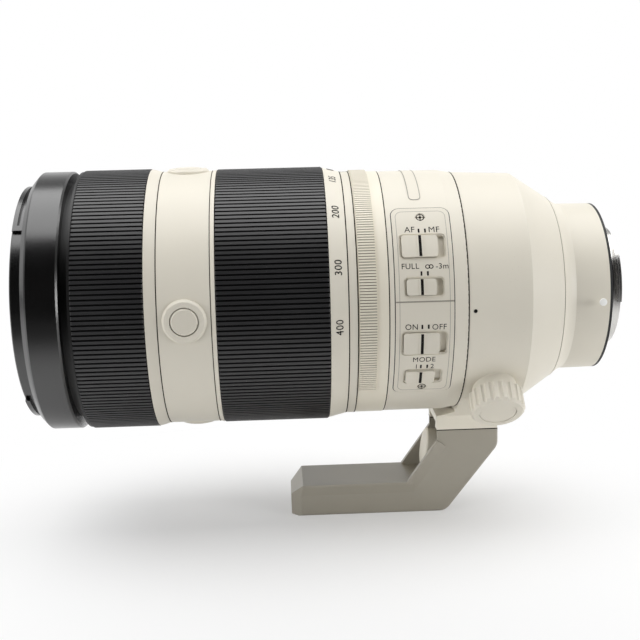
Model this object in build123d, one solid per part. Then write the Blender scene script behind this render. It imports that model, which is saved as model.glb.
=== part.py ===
from build123d import *
import os
from math import atan2, copysign, cos, degrees, radians, sin, sqrt

# Telephoto zoom lens with a rotating tripod collar and a foot that slides off.
# The lens axis is X. The mount face is the plane X = 0, the front of the lens lies at -X and the foot
# hangs at -Z. Angles round the axis start at the side that faces -Y and grow upwards: 0 is the switch
# side, 90 the top and -90 the foot. Lengths are in millimetres and angles in degrees.

# Angles of the main directions
near_side = 0
top_side = 90
foot_side = -90
full_turn = 360

# Clearances and cuts
overrun = 2.0
ring_clearance = 0.15
tube_clearance = 0.3
seam_gap = 0.2
slide_clearance = 0.2
small_chamfer = 0.4

# Lengths of the sections of the barrel, from the mount face forwards
rear_barrel_length = 17.4
rear_cone_length = 4.6
mount_seal_thickness = 0.9
collar_length = 35.0
collar_cone_length = 13.3
switch_barrel_length = 26.9
torque_ring_length = 10.3
index_band_length = 3.1
zoom_scale_length = 6.2
zoom_grip_length = 37.9
zoom_lip_length = 1.4
button_band_length = 17.9
focus_rear_length = 4.0
focus_grip_length = 24.1
focus_lip_length = 0.8
front_gap_length = 3.0
front_ring_length = 12.6
hood_rim_length = 4.4

# Places of the seams along the axis
mount_face_x = 0.0
mount_seal_x = mount_face_x - mount_seal_thickness
rear_barrel_front_x = mount_face_x - rear_barrel_length
rear_cone_end_x = rear_barrel_front_x + rear_cone_length
collar_cone_x = rear_barrel_front_x - collar_cone_length
collar_front_x = rear_barrel_front_x - collar_length
switch_barrel_front_x = collar_front_x - switch_barrel_length
torque_ring_front_x = switch_barrel_front_x - torque_ring_length
index_band_front_x = torque_ring_front_x - index_band_length
zoom_grip_end_x = index_band_front_x - zoom_scale_length
zoom_grip_front_x = zoom_grip_end_x - zoom_grip_length
zoom_ring_front_x = zoom_grip_front_x - zoom_lip_length
button_band_front_x = zoom_ring_front_x - button_band_length
focus_grip_end_x = button_band_front_x - focus_rear_length
focus_grip_front_x = focus_grip_end_x - focus_grip_length
focus_ring_front_x = focus_grip_front_x - focus_lip_length
front_ring_end_x = focus_ring_front_x - front_gap_length
hood_rim_end_x = front_ring_end_x - front_ring_length
front_x = hood_rim_end_x - hood_rim_length

# Telescoping tubes, from the outside in
barrel_tube_radius = 43.8
barrel_tube_wall = 0.9
extension_wall = 1.2
cam_wall = 1.2
guide_wall = 1.2
barrel_lip_height = 1.4
barrel_lip_length = 0.9
barrel_lip_radius = barrel_tube_radius + barrel_lip_height
barrel_front_x = focus_ring_front_x - seam_gap
extension_radius = barrel_tube_radius - barrel_tube_wall - tube_clearance
cam_radius = extension_radius - extension_wall - tube_clearance
guide_radius = cam_radius - cam_wall - tube_clearance
guide_bore = guide_radius - guide_wall

# Front ring with the hood bayonet and the filter thread
filter_thread_inset = 4.5
filter_thread_length = 4.0
filter_thread_radius = extension_radius - filter_thread_inset
hood_rim_wall = 2.6
hood_rim_radius = filter_thread_radius + hood_rim_wall
front_ring_height = 3.0
front_ring_step_depth = 2.3
front_ring_bevel_depth = 0.5
front_ring_bevel_length = 1.6
front_ring_edge = 0.6
front_ring_radius = barrel_tube_radius + front_ring_height
front_ring_step_radius = front_ring_radius - front_ring_step_depth
front_ring_bevel_radius = front_ring_radius - front_ring_bevel_depth
front_ring_wall = 1.4
tube_socket_length = 6.0
hood_tab_height = 1.2
hood_tab_length = 1.5
hood_tab_inset = 0.3
hood_tab_span = 90
hood_tab_angles = (90, 270)
hood_stop_span = 3
hood_stop_length = 3.4

# Front lens cell
front_cell_wall = 1.9
front_cell_overhang = 6.0
front_cell_seat_setback = 3.0
front_cell_seat_height = 2.6
front_cell_end_x = front_ring_end_x + front_cell_overhang
front_cell_seat_x = front_ring_end_x - front_cell_seat_setback
front_retainer_gap = 0.3
front_retainer_length = 1.2
front_retainer_height = 2.4
front_glass_thickness = 6.3
front_glass_bulge = 3.6
front_glass_hollow = 1.2
doublet_thickness = 6.0
doublet_hollow = 0.8
doublet_bulge = 2.4

# Zoom drive: turn of the ring, travel of the front barrel and of the second lens group
zoom_turn = 95
front_travel = 70.0
roller_setback = 5.1
roller_radius = 1.8
roller_angles = (90, 210, 330)
roller_x = zoom_grip_end_x - roller_setback
cam_front_inset = 5.0
cam_rear_inset = 1.3
guide_front_overhang = 0.5
guide_rear_inset = 5.6
guide_flange_length = 4.0
cam_front_x = focus_ring_front_x + cam_front_inset
cam_rear_x = index_band_front_x - cam_rear_inset
guide_front_x = cam_front_x - guide_front_overhang
guide_rear_x = collar_front_x - guide_rear_inset
extension_tail = 4.0
extension_rear_x = roller_x + extension_tail
drive_key_inset = 0.9
drive_key_length = 3.0
drive_key_span = 10
drive_key_angle = 20
drive_slot_margin = 2
drive_key_front_x = zoom_grip_end_x + drive_key_inset
drive_key_rear_x = drive_key_front_x + drive_key_length
group_travel = 30.0
group_lead = 6.0
group_x = roller_x - group_lead
group_angle_lead = 79
group_cell_length = 12.0
group_cell_wall = 5.0
group_glass_thickness = 5.0
group_glass_bulge = 2.4
group_glass_hollow = 1.8

# Focus ring, each height above the one that carries it
focus_sleeve_wall = 1.7
focus_grip_base = 0.95
focus_rib_height = 0.55
focus_lip_height = 1.1
focus_rear_lip_height = 1.4
focus_sleeve_radius = barrel_tube_radius + focus_sleeve_wall
focus_grip_root_radius = focus_sleeve_radius + focus_grip_base
focus_grip_radius = focus_grip_root_radius + focus_rib_height
focus_lip_radius = focus_sleeve_radius + focus_lip_height
focus_rear_lip_radius = focus_sleeve_radius + focus_rear_lip_height
button_band_wall = 2.1
button_band_radius = barrel_tube_radius + button_band_wall
focus_rib_count = 176

# Zoom ring
zoom_sleeve_wall = 1.5
zoom_grip_base = 0.5
zoom_rib_height = 0.5
zoom_front_lip_height = 0.8
zoom_scale_front_height = 0.7
zoom_scale_rear_wall = 0.7
zoom_sleeve_radius = barrel_tube_radius + zoom_sleeve_wall
zoom_grip_root_radius = zoom_sleeve_radius + zoom_grip_base
zoom_grip_radius = zoom_grip_root_radius + zoom_rib_height
zoom_front_lip_radius = zoom_sleeve_radius + zoom_front_lip_height
zoom_scale_front_radius = zoom_sleeve_radius + zoom_scale_front_height
zoom_scale_rear_radius = barrel_tube_radius + zoom_scale_rear_wall
zoom_rib_count = 172
grip_chamfer = 0.45

# Shares of one rib's pitch: its flat top and its sloping flank
rib_top_share = 0.6
rib_flank_share = 0.08

# Focus hold buttons on the band between the rings
button_x = (button_band_front_x + zoom_ring_front_x) / 2
button_angles = {"left": near_side, "top": top_side, "bottom": foot_side}
button_rim_radius = 7.4
button_rim_height = 1.0
button_rim_bevel = 0.7
button_radius = 4.5
button_gap = 0.35
button_proud = 0.35
button_flange_width = 1.2
button_flange_height = 0.6
button_gap_below = 0.75

# Index band and torque ring
index_band_wall = 0.6
torque_track_depth = 1.05
torque_ring_wall = 0.95
torque_rib_base = 0.25
torque_rib_height = 0.3
index_band_radius = barrel_tube_radius + index_band_wall
torque_track_radius = index_band_radius - torque_track_depth
torque_plain_radius = torque_track_radius + torque_ring_wall
torque_rib_root_radius = torque_plain_radius + torque_rib_base
torque_rib_radius = torque_rib_root_radius + torque_rib_height
torque_rib_inset = 0.5
torque_rib_length = 5.7
torque_rib_front_x = torque_ring_front_x + torque_rib_inset
torque_rib_end_x = torque_rib_front_x + torque_rib_length
torque_rib_count = 286
torque_rib_low_angle = -40
torque_rib_high_angle = 220

# Rear barrel and the bayonet mount's flange
rear_barrel_radius = 30.45
rear_fillet_height = 0.15
rear_barrel_wall = 2.05
rear_spigot_step = 0.55
rear_fillet_radius = rear_barrel_radius + rear_fillet_height
rear_spigot_radius = rear_barrel_radius - rear_spigot_step
bulkhead_setback = 2.6
bulkhead_x = rear_barrel_front_x - bulkhead_setback
bulkhead_thickness = 2.0
bulkhead_bore = 17.6

# Switch barrel, with the track that the collar turns on
switch_barrel_step = 0.75
switch_barrel_wall = 2.6
switch_taper_length = 5.1
switch_taper_depth = 0.8
switch_barrel_radius = torque_track_radius + switch_barrel_step
switch_barrel_bore = switch_barrel_radius - switch_barrel_wall
switch_barrel_rear_radius = switch_barrel_radius - switch_taper_depth
switch_taper_x = collar_front_x - switch_taper_length
track_step = 0.9
track_wall = 1.2
track_cone_length = 16.6
track_rear_height = 0.95
track_radius = switch_barrel_bore - track_step
track_cone_x = rear_barrel_front_x - track_cone_length
track_rear_radius = rear_barrel_radius + track_rear_height

# Switch panel
panel_front_inset = 2.1
panel_rear_inset = 0.1
panel_front_x = switch_barrel_front_x + panel_front_inset
panel_rear_x = switch_taper_x - panel_rear_inset
panel_middle_x = (panel_front_x + panel_rear_x) / 2
panel_low_angle = -43.0
panel_high_angle = 49.1
panel_corner = 3.0
panel_depth = 1.2
panel_proud = 0.15
panel_gap = 0.3
panel_divider_angle = 5.1
panel_divider_width = 0.5
panel_divider_depth = 0.4
panel_screw_angles = (44, -39)
panel_screw_radius = 1.7
panel_screw_inset = 0.2
screw_slot_width = 0.5
screw_slot_depth = 0.5

# Slide switches: angle on the panel and which of the two slot sizes each has
large_slot_length = 14.6
large_slot_span = 10.4
small_slot_length = 12.4
small_slot_span = 7.6
slot_corner = 1.0
slot_rim_width = 0.55
slot_rim_depth = 0.35
switch_travel = 2.1
switch_proud = 0.75
switch_floor_gap = 0.2
switches = {
    "focus_mode_switch": (29.4, large_slot_length, large_slot_span),
    "focus_range_switch": (11.4, small_slot_length, small_slot_span),
    "stabiliser_switch": (-13.7, large_slot_length, large_slot_span),
    "stabiliser_mode_switch": (-31.7, small_slot_length, small_slot_span),
}

# Tripod collar; its block hangs under the ring and carries the foot
collar_wall = 2.6
collar_taper = 0.9
collar_rear_wall = 2.1
collar_front_radius = track_radius + collar_wall
collar_cone_radius = collar_front_radius - collar_taper
collar_rear_radius = track_rear_radius + collar_rear_wall
block_overhang = 6.3
block_length = 22.7
block_height = 8.2
block_shoulder_height = 5.4
block_slope_length = 3.0
block_slope_height = 1.1
block_front_x = collar_front_x - block_overhang
block_rear_x = block_front_x + block_length
block_bottom_z = -(collar_front_radius + block_height)
block_shoulder_z = block_bottom_z + block_shoulder_height
block_slope_x = block_front_x + block_slope_length
block_slope_z = block_shoulder_z + block_slope_height
block_flare_angle = -54
foot_half_width = 10.6

# Collar knob
knob_setback = 10.9
knob_x = collar_front_x + knob_setback
knob_angle = -43.5
knob_radius = 9.46
knob_stand_off = 3.1
knob_base = collar_front_radius + knob_stand_off
knob_length = 7.5
knob_groove_count = 20
knob_groove_radius = 1.0
knob_groove_depth = 0.55
knob_edge = 1.0
knob_cap_radius = 6.4
knob_cap_depth = 0.9
knob_cap_gap = 0.15
boss_radius = 7.6
boss_gap = 0.3
stud_radius = 2.5
shoe_gap = 0.1

# Foot, in side view; the outline runs round from the front of the bar
foot_gap = 0.2
arm_height = 19.4
bar_height = 12.4
bar_length = 43.6
arm_front_height = 3.6
arm_rear_height = 6.6
arm_lean = 11.2
arm_front_inset = 0.1
arm_rear_overhang = 0.4
heel_setback = 19.6
foot_top_z = block_bottom_z - foot_gap
bar_top_z = foot_top_z - arm_height
foot_bottom_z = bar_top_z - bar_height
arm_top_front_x = block_front_x + arm_front_inset
arm_top_front_z = foot_top_z - arm_front_height
arm_corner_x = arm_top_front_x - arm_lean
bar_front_x = arm_corner_x - bar_length
arm_rear_x = block_rear_x + arm_rear_overhang
arm_rear_z = foot_top_z - arm_rear_height
heel_x = arm_rear_x - heel_setback
heel_radius = 5.0
arm_rear_radius = 5.0
toe_chamfer = 4.4
foot_edge_radius = 1.2
foot_flare_width = 0.8
foot_flare_depth = 4.3
foot_flare_land = 0.8
channel_wall = 1.2
channel_depth = 9.5
tenon_setback = 10.1
tenon_rear_inset = 1.6
tenon_front_x = arm_top_front_x + tenon_setback
tenon_rear_x = arm_rear_x - tenon_rear_inset
tenon_height = 2.6
tenon_half_width = 7.5
tenon_neck_half_width = 6.0
insert_setback = 25.4
insert_x = bar_front_x + insert_setback
insert_radius = 5.0
insert_length = 8.0
tripod_thread_radius = 2.55

# Lock knob in the arm of the foot
lock_lead = 3.8
lock_drop = 9.2
lock_x = arm_top_front_x - lock_lead
lock_z = foot_top_z - lock_drop
lock_tilt = 10
lock_radius = 7.25
lock_thickness = 4.0
lock_shaft_radius = 2.5
lock_shaft_length = 13.0
lock_edge = 0.5

# Bayonet mount
flange_inset = 1.55
flange_depth = 2.2
flange_radius = rear_barrel_radius - flange_inset
hub_radius = 21.7
hub_wall = 2.2
hub_depth = 6.0
hub_length = 11.5
hub_front_x = mount_face_x - hub_depth
hub_rear_x = hub_front_x + hub_length
bayonet_tab_height = 1.3
bayonet_tab_length = 1.5
bayonet_tab_span = 52
bayonet_tab_angles = (20, 140, 260)
bayonet_tab_radius = hub_radius + bayonet_tab_height
lock_notch_angle = -32
lock_notch_inset = 3.7
lock_notch_radius = 1.3
lock_notch_pitch_radius = flange_radius - lock_notch_inset
mount_screw_inset = 2.6
mount_screw_pitch_radius = flange_radius - mount_screw_inset
mount_screw_angles = (45, 135, 225, 315)
mount_screw_radius = 1.4
mount_screw_length = 3.2

# Contacts, rear lens and circuit board
contact_block_height = 3.9
contact_block_inset = 0.7
contact_inner_radius = hub_radius - hub_wall - contact_block_height
contact_block_rear_x = hub_rear_x - contact_block_inset
contact_block_span = 84
contact_count = 10
contact_pitch = 7.5
contact_pin_radius = 0.55
contact_pin_length = 1.4
contact_pin_proud = 0.25
rear_cell_depth = 14.0
rear_cell_length = 12.5
rear_cell_front_x = mount_face_x - rear_cell_depth
rear_cell_rear_x = rear_cell_front_x + rear_cell_length
rear_cell_wall = 3.2
rear_window_width = 26.0
rear_window_height = 19.0
rear_window_depth = 1.4
rear_glass_inset = 1.0
rear_glass_front_x = rear_cell_front_x + rear_glass_inset
rear_glass_thickness = 5.0
rear_glass_bulge = 1.6
rear_glass_hollow = 2.0
board_depth = 10.0
board_front_x = mount_face_x - board_depth
board_thickness = 1.2
board_gap = 0.9
board_bore = hub_radius + board_gap

# Iris
housing_wall = 1.4
housing_setback = 9.4
housing_front_x = group_x + housing_setback
iris_ring_inset = 1.2
iris_ring_front_x = housing_front_x + iris_ring_inset
iris_ring_thickness = 1.2
iris_ring_radius = guide_bore - housing_wall - tube_clearance
iris_ring_width = 15.7
iris_ring_bore = iris_ring_radius - iris_ring_width
blade_count = 9
blade_spacing = 0.3
blade_thickness = 0.15
blade_overlap = 0.5
blade_inner_radius = iris_ring_bore - blade_overlap
blade_width = 4.6
blade_span = 66
blade_pivot_lead = 6.5
blade_pivot_radius = blade_inner_radius + blade_pivot_lead
blade_ear_radius = 1.7
blade_post_radius = 0.5
blade_post_clearance = 0.1

# Stabiliser
housing_front_length = 6.0
housing_rear_length = 20.6
housing_plate_x = housing_front_x + housing_front_length
housing_plate_thickness = 1.6
housing_rear_x = housing_plate_x + housing_rear_length
aperture_lip = 1.5
housing_aperture = iris_ring_bore - aperture_lip
frame_thickness = 2.4
frame_play = 3.0
frame_radius = guide_bore - housing_wall - frame_play
frame_width = 12.0
frame_bore = frame_radius - frame_width
cell_overlap = 4.0
stabiliser_cell_radius = frame_bore + cell_overlap
stabiliser_cell_length = 8.0
stabiliser_cell_wall = 8.0
stabiliser_glass_radius = stabiliser_cell_radius - stabiliser_cell_wall
stabiliser_glass_thickness = 5.0
stabiliser_glass_bulge = 1.8

# Linear focus carriers on two rods
rod_radius = 1.5
carrier_gap = 7.4
carrier_radius = guide_bore - carrier_gap
rod_inset = 5.0
rod_pitch_radius = carrier_radius - rod_inset
rod_angles = (60, 240)
yoke_angles = (-30, 150)
yoke_width = 12.0
yoke_thickness = 2.5
yoke_stand_off = 2.0
yoke_radius = carrier_radius + yoke_stand_off
carrier_length = 6.0
carrier_wall = 13.0
carrier_glass_radius = carrier_radius - carrier_wall
carrier_glass_thickness = 4.0
carrier_glass_bulge = 1.5
carrier_glass_hollow = 1.2
front_carrier_gap = 8.0
carrier_spacing = 20.0
front_carrier_x = housing_rear_x + front_carrier_gap
rear_carrier_x = front_carrier_x + carrier_spacing
yoke_rear_x = rear_carrier_x + carrier_length


def turned(*outline):
    """Solid turned about the lens axis from points of (place along the axis, radius)."""
    return revolve(make_face(Polyline(*outline, close=True)), Axis.X)


def tube(x_front, x_rear, inner, outer):
    return turned((x_front, inner), (x_rear, inner), (x_rear, outer), (x_front, outer))


def sector(x_front, x_rear, inner, outer, low_angle, high_angle):
    """Part of a tube between two angles."""
    section = make_face(
        Polyline((x_front, inner), (x_rear, inner), (x_rear, outer), (x_front, outer), close=True)
    )
    half_turn = full_turn / 2
    return Rot(half_turn - high_angle, 0, 0) * revolve(section, Axis.X, high_angle - low_angle)


def rounded_sector(x_front, x_rear, inner, outer, low_angle, high_angle, corner):
    """Curved plate whose four corners are rounded."""
    plate = sector(x_front, x_rear, inner, outer, low_angle, high_angle)
    corners = plate.edges().filter_by(GeomType.LINE).filter_by(Axis.X, reverse=True)
    return fillet(corners, corner)


def turned_to(angle, shape):
    """Shape drawn on the top of the lens, carried round to an angle."""
    return Rot(top_side - angle, 0, 0) * shape


def radial_pin(x, angle, inner, outer, radius):
    pin = Pos(x, 0, (inner + outer) / 2) * Cylinder(radius, outer - inner)
    return turned_to(angle, pin)


def axial_pin(x_front, x_rear, angle, pitch_radius, radius):
    plane = Plane(origin=(x_front, 0, pitch_radius), z_dir=(1, 0, 0))
    return turned_to(angle, extrude(plane * Circle(radius), x_rear - x_front))


def ring_point(radius, angle):
    """Point in the plane across the axis, as (Y, Z)."""
    return (-radius * cos(radians(angle)), radius * sin(radians(angle)))


def ribbed_tube(x_front, x_rear, inner, plain, root, crest, count, low_angle, high_angle):
    """Tube whose outside has straight ribs between two angles and is plain elsewhere."""
    pitch = full_turn / count
    flank = pitch * rib_flank_share
    top = pitch * rib_top_share
    points = []
    for index in range(count):
        start = low_angle + index * pitch
        if start + pitch <= high_angle:
            points.append(ring_point(root, start))
            points.append(ring_point(crest, start + flank))
            points.append(ring_point(crest, start + flank + top))
            points.append(ring_point(root, start + flank + top + flank))
        else:
            points.append(ring_point(plain, start))
    outline = make_face(Polyline(*points, close=True)) - Circle(inner)
    return extrude(Plane.YZ.offset(x_front) * outline, x_rear - x_front)


def grip(x_front, x_rear, inner, root, crest, count):
    """Ribbed rubber sleeve with bevelled ends."""
    ribs = ribbed_tube(x_front, x_rear, inner, root, root, crest, count, near_side, full_turn)
    envelope = turned(
        (x_front, 0),
        (x_front, crest - grip_chamfer),
        (x_front + grip_chamfer, crest),
        (x_rear - grip_chamfer, crest),
        (x_rear, crest - grip_chamfer),
        (x_rear, 0),
    )
    return ribs & envelope


def cap_point(x_rim, rim_radius, bulge, height):
    """Point of a spherical face: bulge is how far its middle stands forward of its rim."""
    curvature = (rim_radius**2 + bulge**2) / (2 * bulge)
    drop = copysign(sqrt(curvature**2 - height**2), bulge)
    return (x_rim - bulge + curvature - drop, height)


def glass(x_front, thickness, radius, front_bulge, rear_bulge):
    """Lens element; x_front and thickness are at its rim and a negative bulge is a hollow."""
    x_rear = x_front + thickness
    front = [cap_point(x_front, radius, front_bulge, share * radius) for share in (0, 1 / 2, 1)]
    rear = [cap_point(x_rear, radius, -rear_bulge, share * radius) for share in (0, 1 / 2, 1)]
    outline = [
        ThreePointArc(*front),
        Line(front[-1], rear[-1]),
        ThreePointArc(*reversed(rear)),
        Line(rear[0], front[0]),
    ]
    return revolve(make_face(outline), Axis.X)


def helical_slot(start_x, start_angle, travel, half_width, inner, outer):
    """Slot of the cam barrel that drives a roller forwards while the zoom ring turns."""
    middle = (inner + outer) / 2
    path = Helix(
        pitch=travel * full_turn / zoom_turn,
        height=travel,
        radius=middle,
        center=(start_x, 0, 0),
        direction=(-1, 0, 0),
        lefthand=True,
    )
    section = Plane(origin=path @ 0, x_dir=radial_direction(path @ 0), z_dir=path % 0)
    cutter = sweep(section * Rectangle(outer - inner, 2 * half_width), path, is_frenet=True)
    begin = angle_of(path @ 0)
    cutter = Rot(begin - start_angle, 0, 0) * cutter
    ends = [
        radial_pin(start_x, start_angle, inner, outer, half_width),
        radial_pin(start_x - travel, start_angle - zoom_turn, inner, outer, half_width),
    ]
    return [cutter] + ends


def radial_direction(point):
    return Vector(0, point.Y, point.Z).normalized()


def angle_of(point):
    """Angle round the axis of a point, from the near side upwards."""
    return degrees(atan2(point.Z, -point.Y))


def straight_slot(start_x, angle, travel, half_width, inner, outer):
    """Slot of the guide barrel that keeps a roller from turning."""
    middle = (inner + outer) / 2
    slot = Box(travel, 2 * half_width, outer - inner)
    slot = turned_to(angle, Pos(start_x - travel / 2, 0, middle) * slot)
    ends = [
        radial_pin(start_x, angle, inner, outer, half_width),
        radial_pin(start_x - travel, angle, inner, outer, half_width),
    ]
    return [slot] + ends


def group_angles():
    return [angle + group_angle_lead for angle in roller_angles]


slot_half_width = roller_radius + slide_clearance


# Front barrel: everything that moves forward with the zoom

def make_hood_mount_ring():
    cell_radius = front_cell_radius()
    socket_x = front_ring_end_x - tube_socket_length
    thread_end_x = front_x + filter_thread_length
    bevel_x = hood_rim_end_x + front_ring_bevel_length
    ring = turned(
        (front_x, filter_thread_radius),
        (front_x, hood_rim_radius - small_chamfer),
        (front_x + small_chamfer, hood_rim_radius),
        (hood_rim_end_x, hood_rim_radius),
        (hood_rim_end_x, front_ring_step_radius),
        (bevel_x, front_ring_bevel_radius),
        (bevel_x + front_ring_edge, front_ring_radius),
        (front_ring_end_x - front_ring_edge, front_ring_radius),
        (front_ring_end_x, front_ring_radius - front_ring_edge),
        (front_ring_end_x, extension_radius),
        (socket_x, extension_radius),
        (socket_x, cell_radius),
        (thread_end_x, cell_radius),
        (thread_end_x, filter_thread_radius),
    )
    tab_x = front_x + hood_tab_inset
    tab_root = hood_rim_radius - small_chamfer
    tab_radius = hood_rim_radius + hood_tab_height
    for angle in hood_tab_angles:
        low = angle - hood_tab_span / 2
        high = angle + hood_tab_span / 2
        ring += sector(tab_x, tab_x + hood_tab_length, tab_root, tab_radius, low, high)
        ring += sector(tab_x, tab_x + hood_stop_length, tab_root, tab_radius, low, low + hood_stop_span)
    return ring


def front_cell_radius():
    return filter_thread_radius + front_ring_wall / 2


def make_front_cell():
    outer = front_cell_radius()
    inner = outer - front_cell_wall
    seat = inner - front_cell_seat_height
    front = retainer_front_x() + front_retainer_length
    socket_x = front_ring_end_x - tube_socket_length
    tube_bore = extension_radius - extension_wall
    return turned(
        (front, inner),
        (front, outer),
        (socket_x, outer),
        (socket_x, tube_bore),
        (front_cell_end_x, tube_bore),
        (front_cell_end_x, inner),
        (front_cell_seat_x + front_cell_wall, inner),
        (front_cell_seat_x + front_cell_wall, seat),
        (front_cell_seat_x, seat),
        (front_cell_seat_x, inner),
    )


def retainer_front_x():
    return front_x + filter_thread_length + front_retainer_gap


def make_front_retainer():
    outer = front_cell_radius()
    inner = outer - front_cell_wall - front_retainer_height
    front = retainer_front_x()
    rear = front + front_retainer_length
    return turned(
        (front, outer),
        (rear, outer),
        (rear, inner),
        (rear - small_chamfer, inner),
        (front, inner + front_retainer_length),
    )


def make_front_glass():
    radius = front_cell_radius() - front_cell_wall
    rim_x = front_cell_seat_x - front_glass_thickness
    objective = glass(rim_x, front_glass_thickness, radius, front_glass_bulge, -front_glass_hollow)
    doublet_x = front_cell_seat_x + front_cell_wall
    doublet = glass(doublet_x, doublet_thickness, radius, -doublet_hollow, doublet_bulge)
    return Compound([objective, doublet])


def make_extension_tube():
    socket_x = front_ring_end_x - tube_socket_length
    shell = tube(socket_x, extension_rear_x, extension_radius - extension_wall, extension_radius)
    for angle in roller_angles:
        shell -= radial_pin(roller_x, angle, cam_radius, barrel_tube_radius, roller_radius)
    return shell


def make_tube_rollers():
    inner = guide_bore + slide_clearance
    outer = extension_radius - slide_clearance
    return Compound([radial_pin(roller_x, angle, inner, outer, roller_radius) for angle in roller_angles])


# Fixed tubes of the barrel

def make_outer_barrel():
    bore = barrel_tube_radius - barrel_tube_wall
    shell = turned(
        (barrel_front_x, bore),
        (barrel_front_x, barrel_lip_radius),
        (barrel_front_x + barrel_lip_length, barrel_lip_radius),
        (barrel_front_x + barrel_lip_length, barrel_tube_radius),
        (index_band_front_x, barrel_tube_radius),
        (index_band_front_x, index_band_radius),
        (torque_ring_front_x, index_band_radius),
        (torque_ring_front_x, torque_track_radius),
        (switch_barrel_front_x, torque_track_radius),
        (switch_barrel_front_x, switch_barrel_bore),
        (index_band_front_x, switch_barrel_bore),
        (index_band_front_x, bore),
    )
    low = drive_key_angle - drive_key_span / 2 - drive_slot_margin
    high = drive_key_angle + zoom_turn + drive_key_span / 2 + drive_slot_margin
    slot_front = drive_key_front_x - slide_clearance
    slot_rear = drive_key_rear_x + slide_clearance
    return shell - sector(slot_front, slot_rear, bore - overrun, barrel_tube_radius + overrun, low, high)


def make_button_band():
    rear = zoom_ring_front_x - seam_gap
    band = tube(button_band_front_x, rear, barrel_tube_radius, button_band_radius)
    core = tube(button_band_front_x - overrun, rear + overrun, 0, barrel_tube_radius)
    for angle in button_angles.values():
        top = button_band_radius + button_rim_height
        middle = (barrel_tube_radius + top) / 2
        rim = Pos(0, 0, middle) * Cylinder(button_rim_radius, top - barrel_tube_radius)
        rim = chamfer(rim.edges().group_by(Axis.Z)[-1], button_rim_bevel)
        band += turned_to(angle, Pos(button_x, 0, 0) * rim) - core
        bore = button_radius + button_gap
        band -= radial_pin(button_x, angle, barrel_tube_radius - overrun, top + overrun, bore)
        seat_radius = bore + button_flange_width
        seat_top = barrel_tube_radius + button_gap_below + button_flange_height + slide_clearance
        band -= radial_pin(button_x, angle, barrel_tube_radius - overrun, seat_top, seat_radius)
    return band


def make_button(angle):
    bottom = barrel_tube_radius + button_gap_below
    top = button_band_radius + button_rim_height + button_proud
    flange = bottom + button_flange_height
    flange_radius_here = button_radius + button_flange_width
    cap = Pos(button_x, 0, (bottom + top) / 2) * Cylinder(button_radius, top - bottom)
    cap = chamfer(cap.edges().group_by(Axis.Z)[-1], small_chamfer)
    return turned_to(angle, cap) + radial_pin(button_x, angle, bottom, flange, flange_radius_here)


def make_guide_barrel():
    flange_front = guide_rear_x - guide_flange_length
    shell = turned(
        (guide_front_x, guide_bore),
        (guide_front_x, guide_radius),
        (flange_front, guide_radius),
        (flange_front, switch_barrel_bore),
        (guide_rear_x, switch_barrel_bore),
        (guide_rear_x, guide_bore),
    )
    inner = guide_bore - overrun
    outer = guide_radius + overrun
    for angle in roller_angles:
        shell -= straight_slot(roller_x, angle, front_travel, slot_half_width, inner, outer)
    for angle in group_angles():
        shell -= straight_slot(group_x, angle, group_travel, slot_half_width, inner, outer)
    return shell


def make_cam_barrel():
    shell = tube(cam_front_x, cam_rear_x, cam_radius - cam_wall, cam_radius)
    inner = cam_radius - cam_wall - overrun
    outer = cam_radius + overrun
    slots = []
    for angle in roller_angles:
        slots += helical_slot(roller_x, angle, front_travel, slot_half_width, inner, outer)
    for angle in group_angles():
        slots += helical_slot(group_x, angle, group_travel, slot_half_width, inner, outer)
    for slot in slots:
        shell -= slot
    return shell


# Focus and zoom rings

def make_focus_sleeve():
    bore = barrel_tube_radius + ring_clearance
    front = focus_ring_front_x + barrel_lip_length
    lip_bore = barrel_lip_radius + ring_clearance
    rear = button_band_front_x - seam_gap
    return turned(
        (focus_ring_front_x, lip_bore),
        (focus_ring_front_x, focus_lip_radius),
        (focus_grip_front_x, focus_lip_radius),
        (focus_grip_front_x, focus_sleeve_radius),
        (focus_grip_end_x, focus_sleeve_radius),
        (focus_grip_end_x, focus_rear_lip_radius),
        (rear, button_band_radius),
        (rear, bore),
        (front, bore),
        (front, lip_bore),
    )


def make_focus_grip():
    return grip(
        focus_grip_front_x,
        focus_grip_end_x,
        focus_sleeve_radius,
        focus_grip_root_radius,
        focus_grip_radius,
        focus_rib_count,
    )


def make_zoom_sleeve():
    bore = barrel_tube_radius + ring_clearance
    rear = index_band_front_x - seam_gap
    sleeve = turned(
        (zoom_ring_front_x, bore),
        (zoom_ring_front_x, button_band_radius),
        (zoom_grip_front_x - small_chamfer, zoom_front_lip_radius),
        (zoom_grip_front_x, zoom_front_lip_radius),
        (zoom_grip_front_x, zoom_sleeve_radius),
        (zoom_grip_end_x, zoom_sleeve_radius),
        (zoom_grip_end_x, zoom_scale_front_radius),
        (rear, zoom_scale_rear_radius),
        (rear, bore),
    )
    low = drive_key_angle - drive_key_span / 2
    high = drive_key_angle + drive_key_span / 2
    middle = (bore + zoom_sleeve_radius) / 2
    return sleeve + sector(drive_key_front_x, drive_key_rear_x, cam_radius, middle, low, high)


def make_zoom_grip():
    return grip(
        zoom_grip_front_x,
        zoom_grip_end_x,
        zoom_sleeve_radius,
        zoom_grip_root_radius,
        zoom_grip_radius,
        zoom_rib_count,
    )


def make_torque_ring():
    front = torque_ring_front_x + seam_gap / 2
    rear = switch_barrel_front_x - seam_gap / 2
    bore = torque_track_radius + ring_clearance
    ribs = ribbed_tube(
        torque_rib_front_x,
        torque_rib_end_x,
        bore,
        torque_plain_radius,
        torque_rib_root_radius,
        torque_rib_radius,
        torque_rib_count,
        torque_rib_low_angle,
        torque_rib_high_angle,
    )
    front_edge = tube(front, torque_rib_front_x, bore, torque_plain_radius)
    rear_edge = tube(torque_rib_end_x, rear, bore, torque_plain_radius)
    return ribs + front_edge + rear_edge


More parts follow.
